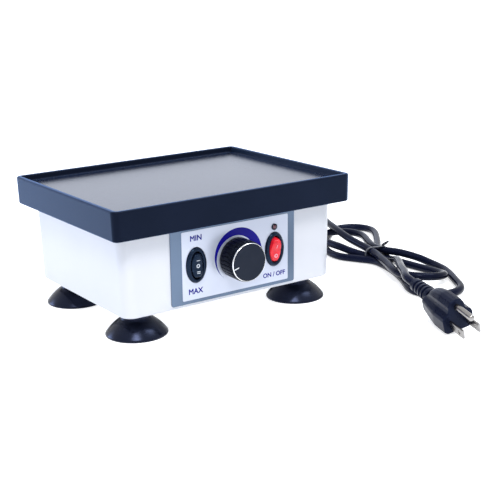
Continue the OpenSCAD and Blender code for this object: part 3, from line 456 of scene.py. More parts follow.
def disc(radius, low, high, x=0, y=0, steps=48):
    return set_in(turned("disc", [(radius, low), (radius, high)], steps), shift(x, y, 0))


def oval_rod(width, height, low, high):
    return skin("rod", [[(x, y, z) for x, y in oval(width, height)] for z in (low, high)])


def joined(name, pieces):
    bm = bmesh.new()
    for piece in pieces:
        bm.from_mesh(piece.data)
        bpy.data.objects.remove(piece)
    mesh = bpy.data.meshes.new(name)
    bm.to_mesh(mesh)
    bm.free()
    return placed(name, mesh)


def mesh_of(piece):
    """The mesh that a piece shows, with its modifiers or its curve's bevel."""
    bpy.context.view_layer.update()
    graph = bpy.context.evaluated_depsgraph_get()
    return bpy.data.meshes.new_from_object(piece.evaluated_get(graph))


def meshed(piece):
    """A mesh in place of a curve or a text."""
    mesh = mesh_of(piece)
    bpy.data.objects.remove(piece)
    return placed("mesh", mesh)


def plain(piece):
    """The piece with its modifiers made into mesh."""
    mesh = mesh_of(piece)
    piece.modifiers.clear()
    piece.data = mesh
    return piece


def cut(piece, tools, operation="DIFFERENCE"):
    modifier = piece.modifiers.new("cut", "BOOLEAN")
    modifier.operation = operation
    modifier.solver = "EXACT"
    modifier.use_self = True
    modifier.object = tools
    plain(piece)
    bpy.data.objects.remove(tools)
    return piece


housing_profile = eased(
    [(WALL + 20, DECK_TOP - WALL), (WALL, DECK_TOP - WALL), (DRAFT + WALL, BODY_BOTTOM),
     (DRAFT, BODY_BOTTOM), (0, DECK_TOP), (20, DECK_TOP)],
    [1.0, 0.5, 2.0, 1.6])
housing = boxy("housing_shell", BODY_L, BODY_W, BODY_CORNER, housing_profile)
cup_out = [disc(CUP_D / 2 + CUP_WALL, SEAT_Z - SEAT_T, DECK_TOP - 1, x, y) for x, y in SPRINGS]
cut(housing, joined("cups", cup_out), "UNION")


def control_holes(low, high, shaft):
    """Rods that cut the holes of the switches, the knob's shaft and the lamp."""
    rods = [oval_rod(*SWITCH_HOLE, low, high), oval_rod(*SWITCH_HOLE, low, high),
            disc(shaft / 2, low, high), disc(LAMP_HOLE / 2, low, high)]
    spots = [*[(x, CONTROL_Z) for x in SWITCH_X], (KNOB_X, CONTROL_Z), LAMP]
    return [set_in(rod, on_front(*spot)) for rod, spot in zip(rods, spots)]


holes = [disc(CUP_D / 2, SEAT_Z, DECK_TOP + 5, x, y) for x, y in SPRINGS]
holes += [disc(GUIDE_HOLE / 2, SEAT_Z - 9, SEAT_Z + 1, x, y) for x, y in SPRINGS]
holes += [boxy("window", *MAGNET_WINDOW, 0.5, [Vector((0, 70)), Vector((0, 90))], 1)]
holes += control_holes(-6, 6, SHAFT_HOLE)
holes += [set_in(disc(RELIEF_HOLE / 2, -6, 6), on_wall(1, *CORD_EXIT))]
smoothed(cut(housing, joined("holes", holes)), 35)
dress(weighted(housing), finish(
    "white_enamel", (0.80, 0.81, 0.86), 0.32, drift=0.015, grain=260, depth=6, Coat_Weight=0.25,
    Coat_Roughness=0.12), "white_enamel")
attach(housing, "base")
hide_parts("housing")

# %% [markdown]
# ## Repeats with Geometry Nodes
# Four feet and the ribs of the knob are each one shape, placed by a rule. A Geometry Nodes
# tree holds the rule, with the numbers as named inputs, and ends in Realize Instances and
# Set Material, so that what comes out is plain mesh.

# %% A tree that stamps a piece on points
SOCKETS = {int: "NodeSocketInt", float: "NodeSocketFloat",
           bpy.types.Material: "NodeSocketMaterial"}


def stamped(piece, name, lay_out, **inputs):
    """The piece, stamped on points by a tree that has the inputs. lay_out(tree, source) gives
    the sockets of the points and of their turn, or None."""
    tree = bpy.data.node_groups.new(name, "GeometryNodeTree")
    modifier = piece.modifiers.new(name, "NODES")

    def socket(label, kind, side="INPUT"):
        return tree.interface.new_socket(label, in_out=side, socket_type=kind).identifier

    socket("Geometry", "NodeSocketGeometry")
    keys = [socket(label.replace("_", " "), SOCKETS[type(value)])
            for label, value in inputs.items()]
    socket("Geometry", "NodeSocketGeometry", "OUTPUT")
    source = add(tree, "NodeGroupInput")
    stamp = add(tree, "GeometryNodeInstanceOnPoints")
    paint = add(tree, "GeometryNodeSetMaterial")
    points, turn = lay_out(tree, source)
    link(points, stamp.inputs["Points"])
    link(source.outputs["Geometry"], stamp.inputs["Instance"])
    if turn:
        link(turn, stamp.inputs["Rotation"])
    link(source.outputs["Material"], paint.inputs["Material"])
    real = feed(add(tree, "GeometryNodeRealizeInstances"), stamp.outputs["Instances"])
    link(feed(paint, real), add(tree, "NodeGroupOutput").inputs["Geometry"])
    modifier.node_group = tree
    for key, value in zip(keys, inputs.values()):
        modifier[key] = value
    return plain(piece)


print("trees ready")

# %% [markdown]
# ## The feet
# Each foot is a soft rubber suction cup: a neck under the base plate that flares into a thin
# skirt. One cup is turned on the lathe, and a grid of two by two points sets out all four.

# %% Feet
FOOT_NECK, FOOT_X, FOOT_Y, BASE_Z = 21.5, 70, 48, 19
foot_outline = [(0.01, 4), (8, 3.6), (15, 2.2), (20.4, 0.6), (21.1, 0), (22.1, 0), (22.4, 0.3),
                (22.5, 0.8)]
for k in range(17):  # the skirt swells a little out of a straight cone
    t = k / 16
    swell = 1.9 * t * (1 - t)
    foot_outline.append((22.4 - 10.7 * t + swell, 1.3 + 10.3 * t + swell))
foot_outline += [(FOOT_NECK / 2 + 0.35, 12.3), (FOOT_NECK / 2 + 0.05, 13.1), (FOOT_NECK / 2, 14),
                 (FOOT_NECK / 2, BASE_Z), (0.01, BASE_Z)]


def two_by_two(tree, source):
    grid = add(tree, "GeometryNodeMeshGrid", Vertices_X=2, Vertices_Y=2)
    return feed(grid, source.outputs["Spacing X"], source.outputs["Spacing Y"]), None


foot_rubber = finish("foot_rubber", (0.002, 0.003, 0.008), 0.24, drift=0.15, grain=500,
                     depth=6, IOR=1.4, Specular_Tint=(0.45, 0.55, 1, 1))
feet = stamped(turned("suction_feet", foot_outline), "four_feet", two_by_two,
               Spacing_X=2 * FOOT_X * MM, Spacing_Y=2 * FOOT_Y * MM, Material=foot_rubber)
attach(feet, "base")
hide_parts("foot_front_left", "foot_front_right", "foot_back_left", "foot_back_right")
print(feet.name, "with", len(feet.data.polygons), "faces")

# %% [markdown]
# ## The knob
# The knob is black anodised aluminium with fine ribs to grip, a bright chamfer cut round its
# front and a face that was spun on a lathe. A rib is made once and a Geometry Nodes tree sets
# thirty of them round a core, each turned to face outwards.

# %% Knob wall
KNOB_D, KNOB_GAP, KNOB_H, RIBS = 29.5, 0.8, 17, 30
KNOB_BACK, KNOB_FRONT = FACE + KNOB_GAP, FACE + KNOB_H
KNOB_TOP = KNOB_FRONT - 1.2  # where the wall ends and the bright chamfer begins
knob_place = on_front(KNOB_X, CONTROL_Z)


def round_a_core(tree, source):
    circle = add(tree, "GeometryNodeMeshCircle")
    outwards = add(tree, "FunctionNodeAlignRotationToVector")
    outwards.axis = "X"
    link(add(tree, "GeometryNodeInputPosition").outputs["Position"], outwards.inputs["Vector"])
    return (feed(circle, source.outputs["Count"], source.outputs["Radius"]),
            outwards.outputs["Rotation"])


knob_black = finish("knob_black", (0.002, 0.003, 0.007), 0.3, drift=0.2, grain=900,
                    depth=1, IOR=1.22, Specular_Tint=(0.5, 0.65, 1, 1))
rib_profile = eased([(1.2, KNOB_BACK + 0.5), (0, KNOB_BACK + 0.5), (0, KNOB_TOP - 1.6),
                     (1.2, KNOB_TOP - 0.6)], [0.3, 0.5], 3)
ribs = stamped(boxy("knob_ribs", 2.4, 2.72, 0.45, rib_profile[1:-1], 3), "ribs_round_a_core",
               round_a_core, Count=RIBS, Radius=(KNOB_D / 2 - 1.2) * MM, Material=knob_black)
core = turned("knob_core", eased(
    [(0.01, 12), (3.02, 12), (3.02, 4), (9, 4), (9, KNOB_BACK), (14.65, KNOB_BACK),
     (14.65, KNOB_BACK + 1), (14.1, KNOB_BACK + 1.3), (14.1, KNOB_TOP - 1.2),
     (14.5, KNOB_TOP - 0.9), (14.5, KNOB_TOP - 0.15), (14.15, KNOB_TOP), (0.01, KNOB_TOP)],
    [0, 0, 0, 0.3, 0.4, 0.2, 0.2, 0.3, 0.2, 0.2, 0.2], 3))
knob = set_in(smoothed(joined("knob_wall", [ribs, core]), 40), knob_place)
dress(knob, knob_black, "black_plastic")
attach(knob, "knob")
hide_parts("knob_body")

# %% [markdown]
# ## The spun face
# A tool that faces a turning disc leaves rings too fine to see, but light shows them as a
# bright fan from the middle. That is anisotropy: gloss that is wide one way and narrow the
# other. It needs a direction, so the face gets a UV map of angle and radius round its centre.

# %% Angle and radius as a UV map
def polar_map(piece, matrix, radius):
    """U goes once round the axis of matrix, V from the centre to radius (mm)."""
    back, mesh = matrix.inverted(), piece.data
    uv = mesh.uv_layers.new(name="polar").data
    for polygon in mesh.polygons:
        spots = []
        for corner in polygon.loop_indices:
            p = back @ mesh.vertices[mesh.loops[corner].vertex_index].co
            spots.append((math.atan2(p.y, p.x) / (2 * math.pi) % 1,
                          math.hypot(p.x, p.y) / (radius * MM)))
        seam = max(u for u, v in spots) - min(u for u, v in spots) > 0.5
        for corner, (u, v) in zip(polygon.loop_indices, spots):
            uv[corner].uv = (u + (seam and u < 0.5), v)


def spun_metal(name, colour, rough, rings, **fixed):
    """Fine grooves round the polar map's centre, which stretch the gloss along them."""
    material, tree, shader = new_material(name)
    uv = add(tree, "ShaderNodeUVMap")
    turn = add(tree, "ShaderNodeTangent")
    turn.direction_type = "UV_MAP"
    uv.uv_map = turn.uv_map = "polar"
    link(turn.outputs["Tangent"], shader.inputs["Tangent"])
    only_v = add(tree, "ShaderNodeMapping", Scale=(0, rings, 0))
    grooves = feed(add(tree, "ShaderNodeTexNoise", Scale=1, Detail=4),
                   feed(only_v, uv.outputs["UV"]))
    worn(tree, shader, colour, 0.15, grooves, rough, 0.2, grooves, 4)
    fix(shader, fixed)
    return material


RING_IN = KNOB_D / 2 - 1.3  # radius of the dark face inside the chamfer
face_piece = turned("knob_face_spun", [
    (0.01, KNOB_TOP), (RING_IN, KNOB_TOP), (RING_IN, KNOB_TOP + 0.7),
    (RING_IN - 0.25, KNOB_TOP + 0.85),
    *[(r, KNOB_TOP + 0.85) for r in (12.6, 11, 9.5, 8, 6.5, 5, 3.5, 2, 0.8, 0.01)]])
set_in(face_piece, knob_place)
polar_map(face_piece, knob_place, RING_IN)
dress(face_piece, spun_metal(
    "dark_aluminium", (0.009, 0.014, 0.028), 0.42, 60, Metallic=0.35, Anisotropic=0.7,
    IOR=1.3), "dark_aluminium")
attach(face_piece, "knob")
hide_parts("knob_face")

chamfer = turned("knob_chamfer", [
    (RING_IN + 0.03, KNOB_TOP), (14.05, KNOB_TOP), (14.1, KNOB_TOP + 0.3), (14.05, KNOB_TOP + 0.5),
    (13.8, KNOB_FRONT - 0.06), (13.72, KNOB_FRONT), (13.6, KNOB_FRONT - 0.03),
    (RING_IN + 0.03, KNOB_TOP + 0.85), (RING_IN + 0.03, KNOB_TOP)], caps=False)
set_in(chamfer, knob_place)
polar_map(chamfer, knob_place, RING_IN)
dress(chamfer, spun_metal(
    "bright_aluminium", (0.84, 0.85, 0.87), 0.16, 60, Metallic=1,
    Anisotropic=0.5), "bright_aluminium")
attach(chamfer, "knob")
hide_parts("knob_ring")

POINTER = 196  # degrees, seen from the front
pointer = boxy("knob_pointer", 4.4, 0.8, 0.2, eased(
    [(0, KNOB_TOP + 0.5), (0, KNOB_TOP + 0.93), (0.4, KNOB_TOP + 0.93)], [0.06], 2), 3)
set_in(pointer, knob_place @ spin(POINTER, "Z") @ shift(11.2, 0, 0))
dress(pointer, finish(
    "white_paint", (0.82, 0.83, 0.85), 0.45, drift=0.03, grain=1500), "bright_aluminium")
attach(pointer, "knob")

# %% [markdown]
# ## The control panel
# The panel is a sheet of grey-blue anodised aluminium with a film of silvery print on it.
# Both are thin rounded rectangles with the holes for the controls cut through. The film
# catches light along its edge because it really stands proud of the metal.

# %% Panel and film
PANEL_W, PANEL_H, PANEL_X, PANEL_Z, PANEL_T = 106, 55.4, -0.5, 20.9, 1
FIELD_W, FIELD_H, FIELD_DX, FIELD_DZ = 91.2, 50.1, 1.4, 2.6


def sheet_metal(name, width, height, x, z, low, high, corner, edge):
    profile = eased([(3, low), (0, low), (0, high), (3, high)], [0.02, edge], 3)
    piece = set_in(boxy(name, width, height, corner, profile),
                   on_front(x, z) @ shift(0, height / 2, 0))
    cut(piece, joined("holes", control_holes(low - 3, high + 3, SHAFT_HOLE + 0.1)))
    return weighted(smoothed(piece, 30))


panel = sheet_metal("panel_sheet", PANEL_W, PANEL_H, PANEL_X, PANEL_Z, 0, PANEL_T, 1.5, 0.25)
dress(panel, finish(
    "panel_metal", (0.118, 0.165, 0.245), 0.36, drift=0.1, grain=60, stretch=(0.6, 1, 18),
    depth=0, Metallic=0.65), "panel_metal")
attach(panel, "base")
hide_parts("panel_plate")

film = sheet_metal("panel_film", FIELD_W, FIELD_H, PANEL_X + FIELD_DX, PANEL_Z + FIELD_DZ,
                   PANEL_T, FACE, 1, 0.08)
dress(film, finish(
    "panel_print", (0.60, 0.64, 0.76), 0.34, drift=0.03, grain=700, depth=0,
    Metallic=0.35), "panel_print")
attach(film, "base")
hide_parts("panel_label")

# %% [markdown]
# ## Print on the film
# A crescent that thickens clockwise tells the hand which way is more. Its outer edge grows
# with the angle by one formula, so it is a strip of small steps. The plain words are text
# objects turned into meshes before they are placed.

# %% Crescent
INK = 0.03  # how far ink stands over the film
ARC_IN, ARC_GROW, ARC_FROM, ARC_TO = 15.9, 6.4, 232, -30
TAIL_OUT = 1.5  # how far the thin tail swings out
rings = []
for k in range(121):
    angle = ARC_FROM + (ARC_TO - ARC_FROM) * k / 120
    share = min((ARC_FROM - angle) / 217, 1)
    inner = ARC_IN + TAIL_OUT * (1 - share) ** 3
    outer = (ARC_IN + 0.35 + ARC_GROW * math.sin(math.pi / 2 * share) ** 1.7
             + (TAIL_OUT - 0.3) * (1 - share) ** 2)
    rings.append([(*around(r, math.radians(angle)), z)
                  for r, z in ((inner, FACE - 0.05), (outer, FACE - 0.05),
                               (outer, FACE + INK), (inner, FACE + INK))])
crescent = set_in(skin("panel_crescent", rings), knob_place)
blue_ink = finish("blue_ink", (0.007, 0.004, 0.25), 0.4, drift=0.15, grain=800, depth=0,
                  IOR=1.25)
dress(crescent, blue_ink, "panel_print")
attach(crescent, "base")

# %% Words
def word(text, x, z, height):
    """A word as a thin mesh on the film, its middle at x, z."""
    curve = bpy.data.curves.new("word", "FONT")
    curve.body = text
    curve.extrude = 0.02
    curve.bevel_depth = 0.03  # the bevel also makes every stroke bolder
    curve.bevel_resolution = 0
    curve.align_x = curve.align_y = "CENTER"
    piece = meshed(placed("word", curve))
    ys = [v.co.y for v in piece.data.vertices]
    tall, middle = max(ys) - min(ys), (max(ys) + min(ys)) / 2
    for v in piece.data.vertices:
        v.co = Vector((v.co.x * height / tall, (v.co.y - middle) * height / tall,
                       FACE + (INK if v.co.z > 0 else -0.05))) * MM
    return set_in(piece, on_front(x, z))


words = joined("panel_words", [word("MIN", -33, 68.2, 4.1), word("MAX", -34, 29.6, 4.1),
                               word("ON / OFF", 34, 29.4, 3.6)])
dress(words, blue_ink, "panel_print")
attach(words, "base")

# %% [markdown]
# ## The rocker switches
# Each switch is an oval case pushed in from the front, with a domed bezel round a deep
# pocket. One list of ovals, from the floor of the pocket up over the bezel and back down the
# case, makes it in a single skin.

# %% Switch cases
def oval_skin(name, sections, place):
    rings = [[(x, y, z) for x, y in oval(w, h, 72)] for w, h, z in sections]
    return set_in(skin(name, rings, smooth_angle=40), place)


PIVOT_N, CASE_BACK = 0.2, -17.8
case_sections = [
    (0.1, 0.2, -4.57), (10.2, 20.2, -4.57), (10.2, 20.2, 2.1), (10.35, 20.35, 2.6),
    (10.8, 20.8, 2.95), (11.6, 21.5, 3.15), (12.8, 22.6, 3.2), (14.2, 23.8, 3.0),
    (15.6, 25.0, 2.5), (16.5, 25.8, 1.95), (16.95, 26.25, 1.5), (17.0, 26.3, 1.3),
    (16.9, 26.2, FACE), (14, 22.6, FACE), (14, 22.6, CASE_BACK), (0.1, 0.2, CASE_BACK)]
gloss_black = finish("black_plastic", (0.004, 0.007, 0.018), 0.28, drift=0.15, grain=600,
                     depth=3, IOR=1.36, Specular_Tint=(0.35, 0.6, 1, 1))
for x, node in zip(SWITCH_X, ("speed_switch_case", "power_switch_case")):
    case = oval_skin(node + "_moulded", case_sections, on_front(x, CONTROL_Z))
    dress(case, gloss_black, "black_plastic")
    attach(case, "base")
    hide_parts(node)

# %% [markdown]
# ## Rockers and their marks
# A rocker's top folds in the middle, so that a finger finds both ends, and its ends follow a
# circle about the pivot so that they clear the pocket. The marks are moulded in: thin shapes
# whose height follows that same top.

# %% Rocker shape
ROCKER_W, ROCKER_H, ROCKER_END, ROCKER_MID, ROCKER_UNDER = 9.6, 18.6, 5, 3.8, 2.5
ROCKER_ROUND = 1.5  # how far the top falls away at its outline


def rocker_top(y):
    fold = math.sqrt(y * y + 0.6) - math.sqrt(0.6)
    swing = math.sqrt(max((ROCKER_H / 2 + 0.1) ** 2 - y * y, 0))
    return min(ROCKER_MID + (ROCKER_END - ROCKER_MID) * fold / (ROCKER_H / 2), swing)


def rocker(name, place):
    rings = []
    for share in (0.01, 0.2, 0.4, 0.55, 0.64, 0.72, 0.79, 0.85, 0.9, 0.94, 0.97, 0.99, 1.0):
        drop = ROCKER_ROUND * (1 - math.sqrt(1 - max((share - 0.6) / 0.4, 0) ** 2))
        rings.append([(x, y, rocker_top(y) - drop)
                      for x, y in oval(ROCKER_W * share, ROCKER_H * share, 72)])
    for share, z in ((1.0, 0), (0.99, -ROCKER_UNDER), (0.01, -ROCKER_UNDER)):
        rings.append([(x, y, z) for x, y in oval(ROCKER_W * share, ROCKER_H * share, 72)])
    return set_in(skin(name, rings, smooth_angle=50), place)


def rocker_place(x, tilt):
    return on_front(x, CONTROL_Z) @ shift(0, 0, PIVOT_N) @ spin(tilt, "X")


def mark_bar(x, y, width, height):
    return skin("bar", [[(x + side * width / 2, t, rocker_top(t) + lift)
                         for side, lift in ((-1, -0.1), (1, -0.1), (1, 0.04), (-1, 0.04))]
                        for t in (y - height / 2, y, y + height / 2)])


def mark_ring(y, outer, inner):
    rings = []
    for k in range(41):
        ring = []
        for r, lift in ((inner, -0.1), (outer, -0.1), (outer, 0.04), (inner, 0.04)):
            dx, dy = around(r, 2 * math.pi * k / 40)
            ring.append((dx, y + dy, rocker_top(y + dy) + lift))
        rings.append(ring)
    return skin("ring", rings, caps=False)


print("rocker height over its pivot", rocker_top(0), "to", round(rocker_top(8), 2), "mm")

# %% Speed rocker
speed_place = rocker_place(SWITCH_X[0], 0)
speed = rocker("speed_rocker_moulded", speed_place)
dress(speed, gloss_black, "black_plastic")
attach(speed, "speed_switch")
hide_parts("speed_rocker")

speed_marks = set_in(joined("speed_rocker_marks", [
    mark_bar(0, 4.0, 2.8, 0.4), mark_ring(0, 1.45, 0.75),
    mark_bar(0, -4.1, 2.7, 0.5), mark_bar(0, -5.2, 2.7, 0.5)]), speed_place)
dress(speed_marks, finish(
    "moulded_white", (0.66, 0.70, 0.76), 0.4, drift=0.04, grain=900), "black_plastic")
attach(speed_marks, "speed_switch")

# %% Power rocker
POWER_TILT = 11
power_place = rocker_place(SWITCH_X[1], POWER_TILT)
power = rocker("power_rocker_moulded", power_place)
# The red finish adds a faint red emission: painted glow that brightens the rocker, though the
# switch is off and holds no lamp.
dress(power, finish(
    "rocker_red", (0.84, 0.014, 0.034), 0.24, drift=0.2, drift_scale=220, grain=500, depth=4,
    Subsurface_Weight=0.3, Subsurface_Scale=0.002, IOR=1.3, Coat_Weight=0.5, Coat_Roughness=0.08,
    Coat_IOR=1.35, Emission_Color=(1, 0.03, 0.04, 1), Emission_Strength=0.12), "rocker_red")
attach(power, "power_switch")
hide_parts("power_rocker")

power_marks = set_in(joined("power_rocker_marks", [
    mark_bar(0, 3.3, 0.5, 2.6), mark_ring(-3.9, 1.5, 0.75)]), power_place)
dress(power_marks, finish(
    "rose_white", (0.92, 0.40, 0.47), 0.4, drift=0.05, grain=900), "rocker_red")
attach(power_marks, "power_switch")

# %% [markdown]
# ## The lamp
# A small red lamp sits in a dark collar. It is unlit, so its lens is a dull, deep red with a
# glint on it.

# %% Lamp
collar = turned("lamp_collar", eased(
    [(1.75, FACE), (2.4, FACE), (2.4, FACE + 0.75), (1.75, FACE + 0.75), (1.75, FACE)],
    [0.02, 0.3, 0.25], 4), 48, caps=False)
set_in(collar, on_front(*LAMP))
dress(collar, gloss_black, "black_plastic")
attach(collar, "base")
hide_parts("lamp_holder")

dome = [(r, FACE + 0.3 + up)
        for r, up in (around(1.68, math.radians(9 * k), 1.25) for k in range(10))]
lens_piece = turned("lamp_dome", [(0.01, -4.5), (2.1, -4.5), (2.1, -2.7), (1.68, -2.7), *dome,
                                  (0.01, FACE + 1.55)], 48)
set_in(lens_piece, on_front(*LAMP))
dress(lens_piece, finish(
    "lamp_red", (0.17, 0.032, 0.06), 0.14, drift=0.2, drift_scale=200, grain=900, depth=2,
    Transmission_Weight=0.25, Coat_Weight=0.5, Coat_Roughness=0.05), "lamp_red")
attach(lens_piece, "base")
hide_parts("lamp_lens")

# %% [markdown]
# ## The strain relief
# Where the cord leaves the back, a rubber sleeve snaps into the hole with a collar on each
# side and tapers on to the cord, with rings cut in so that it bends evenly. It is one long
# profile on the lathe.

# %% Strain relief
RELIEF_OUT, RELIEF_END, CORD_R = 18.7, 8.2, CORD_D / 2


def relief_radius(z):
    return (RELIEF_HOLE - (RELIEF_HOLE - RELIEF_END) * (z - 2.4) / (RELIEF_OUT - 2.4)) / 2


relief = [(0.01, -12.7), (CORD_R, -12.7), (CORD_R, -4.75), (7, -4.75), (7, -2.55), (5.45, -2.55),
          (5.45, 0), (7, 0), (7, 1.7), (6.8, 2.3), (6.2, 2.5), (relief_radius(2.6) + 0.1, 2.6)]
for groove in (5.5, 8.7, 11.9, 15.1):
    relief += [(relief_radius(groove) - d, groove + dz)
               for dz, d in ((-1.0, 0), (-0.7, 0.12), (-0.55, 0.75), (0.55, 0.75), (0.7, 0.12),
                             (1.0, 0))]
relief += [(relief_radius(RELIEF_OUT) - 0.02, RELIEF_OUT - 0.7),
           (relief_radius(RELIEF_OUT) - 0.5, RELIEF_OUT - 0.1), (0.01, RELIEF_OUT)]
sleeve = set_in(turned("cord_sleeve", relief), on_wall(1, *CORD_EXIT))
dress(sleeve, cord_rubber, "cord_black")
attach(sleeve, "base")
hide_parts("strain_relief")

# %% [markdown]
# ## The plug
# The plug is moulded on the cord: a flat face with the blades, two wings for the fingers, a
# round ridge over the earth pin that ends short of the cord, and a ribbed neck. Half of its
# section is a short list of corners. They are mirrored, cut round and drawn again at each
# step along the plug, a little smaller each time, with the ridge sinking at the end.

# %% Plug sections
PLUG_PLACE = shift(105, -190, 9.2) @ spin(-15, "Z") @ spin(-14, "Y") @ spin(97, "X")
PLUG_HALF = [(9.2, -7), (11.5, -5.2), (12, 4), (11, 6.3), (7.4, 8.7), (6.5, 11), (6.3, 13.2),
             (4.4, 16.6), (1.6, 17.5)]
PLUG_L, NECK_L, NECK_UP, PIN_UP, BLADE_PITCH, BLADE_L = 36, 24, 4, 11.9, 12.7, 16.5
RIDGE_FOOT = 8.2  # height at which the ridge rises from the wings


def cut_round(outline, share):
    """The closed outline with each corner cut off at that share of its sides."""
    out = []
    for k, here in enumerate(outline):
        after = outline[(k + 1) % len(outline)]
        out += [tuple(a + (b - a) * t for a, b in zip(here, after)) for t in (share, 1 - share)]
    return out


plug_outline = PLUG_HALF + [(-x, y) for x, y in reversed(PLUG_HALF)]
for share in (0.07, 0.22, 0.25):
    plug_outline = cut_round(plug_outline, share)


def plug_ring(scale, ridge, z):
    ring = []
    for x, y in plug_outline:
        y = RIDGE_FOOT + (y - RIDGE_FOOT) * ridge if y > RIDGE_FOOT else y
        ring.append((x * scale, NECK_UP + (y - NECK_UP) * scale, z))
    return ring


plug_stack = [(0.5, 1, 0), (0.92, 1, 0), (0.965, 1, -0.15), (0.99, 1, -0.5), (1, 1, -1.1),
              (1, 1, -13.6), (0.993, 1, -15.4), (0.97, 1, -17.4), (0.91, 0.99, -22),
              (0.855, 0.96, -26), (0.81, 0.88, -28.6), (0.785, 0.74, -30.4),
              (0.765, 0.5, -31.8), (0.75, 0.3, -33), (0.735, 0.2, -34.2), (0.71, 0.16, -35.2),
              (0.66, 0.14, -35.9), (0.5, 0.1, -36.2)]
moulding = skin("moulding", [plug_ring(*level) for level in plug_stack], smooth_angle=24)

neck = [(0.01, -35), (6.0, -35), (6.0, -36.8)]
for k in range(4):
    z, r = -PLUG_L - 2.6 - 4.5 * k, 5.95 - 0.24 * k
    neck += [(r, z), (r - 0.2, z - 0.4), (r - 1.2, z - 0.7), (r - 1.2, z - 2.2),
             (r - 0.3, z - 2.5), (r - 0.05, z - 2.9)]
neck += [(4.85, -PLUG_L - NECK_L + 0.6), (4.4, -PLUG_L - NECK_L + 0.05), (0.01, -PLUG_L - NECK_L)]
collar_neck = set_in(turned("neck", neck, 64), shift(0, NECK_UP, 0))

plug = set_in(joined("plug_moulding", [moulding, collar_neck]), PLUG_PLACE)
smoothed(plug, 28)
dress(weighted(plug), finish(
    "plug_rubber", (0.005, 0.007, 0.021), 0.3, drift=0.12, grain=700, depth=10, IOR=1.26,
    Specular_Tint=(0.45, 0.6, 1, 1)), "cord_black")
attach(plug, "base")
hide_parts("plug_body")

# %% Blades and earth pin
def blade(x):
    profile = eased([(0, 0.02), (0, BLADE_L), (0.6, BLADE_L)], [0.5], 3)
    piece = boxy("blade", 1.5, 6.4, 0.3, profile, 3)
    cut(piece, set_in(disc(1.5, -3, 3), shift(0, 0, BLADE_L - 4.5) @ spin(90, "Y")))
    return set_in(piece, shift(x, 0, 0))


pin_nose = [(r, BLADE_L + 1.8 + up)
            for r, up in (around(2.4, math.radians(10 * k)) for k in range(9))]
earth_pin = turned("pin", [(0.01, 0.02), (2.4, 0.02), *pin_nose, (0.01, BLADE_L + 4.2)], 40)
set_in(earth_pin, shift(0, PIN_UP, 0))
blades = joined("plug_blades", [blade(-BLADE_PITCH / 2), blade(BLADE_PITCH / 2), earth_pin])
set_in(smoothed(blades, 35), PLUG_PLACE)
dress(blades, finish(
    "plug_metal", (0.30, 0.29, 0.285), 0.22, drift=0.05, grain=400, stretch=(1, 6, 1), depth=2,
    Metallic=1), "plug_metal")
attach(blades, "base")
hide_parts("plug_pins")

# %% [markdown]
# ## The wire tie
# A flat plastic-covered wire goes once round the neck of the hank, and its two ends are
# twisted together and left standing. The band is a strap swept round a rounded rectangle,
# and each end is a short coil about the other.

# %% Wire tie
NECK_WIDE, NECK_HIGH, HANK_Z, TIE_W, TIE_T = 20.4, 12.2, 1, 2.4, 0.8
tie_place = (shift(180.5, -18, 0) @ spin(-16.5, "Z") @ shift(0, 0, HANK_Z + NECK_HIGH / 2)
             @ spin(90, "X"))
inner = round_rect(NECK_WIDE, NECK_HIGH, 5, 8)
outer_line = round_rect(NECK_WIDE + 2 * TIE_T, NECK_HIGH + 2 * TIE_T, 5.8, 8)
rings = []
for a, b in zip(inner + inner[:1], outer_line + outer_line[:1]):
    a, b = Vector(a), Vector(b)
    rings.append([(*(a + (b - a) * out), side * TIE_W / 2)
                  for out, side in ((0, -0.9), (0.25, -1), (0.75, -1), (1, -0.85), (1.05, -0.5),
                                    (0.85, 0), (1.05, 0.5), (1, 0.85), (0.75, 1), (0.25, 1),
                                    (0, 0.9))])
band = set_in(skin("band", rings, caps=False), tie_place)


def wire_mesh(points, diameter):
    """A round wire along a list of points, as a mesh."""
    return meshed(cord_curve("wire", points, diameter))


def twisted_end(phase):
    """One of two wires that wind round each other and part at the tip."""
    points = []
    for k in range(41):
        t = k / 40
        turn = phase + 2 * math.pi * 1.6 * min(t, 0.7)
        wide = 0.6 + 7 * max(t - 0.68, 0) ** 1.3
        points.append(Vector((*around(wide, turn), 6 * t - 0.3)))
    return wire_mesh(points, 1.5)


end_place = shift(186.5, -18, 14.1) @ spin(50, "Y") @ spin(30, "X")
ends = set_in(joined("ends", [twisted_end(0), twisted_end(math.pi)]), end_place)
tie = smoothed(joined("wire_tie", [band, ends]), 50)
dress(tie, finish(
    "tie_plastic", (0.014, 0.017, 0.03), 0.3, drift=0.15, grain=900, depth=10, Coat_Weight=0.3,
    Coat_Roughness=0.15), "black_plastic")
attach(tie, "base")
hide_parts("cord_tie")

# %% [markdown]
# ## What shows only when it is opened
# The magnet, its bracket, the control board and the wires sit inside. Their CAD shapes are
# right as they are, so they keep them and get the finish of what they are made of.

# %% Metals inside
zinc = inside("zinc", [
    "guide_bolts", "guide_washers", "guide_nuts", "armature_spacers", "armature_screws",
    "base_screws", "foot_studs", "foot_nuts", "pot_nut", "pot_shaft", "bracket_screws",
    "clamp_bolts", "board_screws"],
    (0.62, 0.63, 0.66), 0.3, drift=0.08, grain=500, Metallic=1)
inside("steel", ["table_plate", "base_plate", "pot_case", "magnet_bracket"],
       (0.56, 0.57, 0.60), 0.33, drift=0.06, grain=90, stretch=(1, 14, 1), depth=6, Metallic=1)
inside("lamination", ["armature", "magnet_core"], (0.20, 0.21, 0.23), 0.42, drift=0.1, grain=1200,
       stretch=(0.05, 1, 0.05), depth=30, Metallic=0.8)
inside("brass", ["speed_switch_terminals", "power_switch_terminals", "board_standoffs",
                 "earth_screw"], (0.62, 0.42, 0.17), 0.28, drift=0.08, grain=500, Metallic=1)
inside("grey_aluminium", ["heat_sink"], (0.45, 0.47, 0.50), 0.38, drift=0.05, grain=300,
       stretch=(1, 1, 10), Metallic=1)
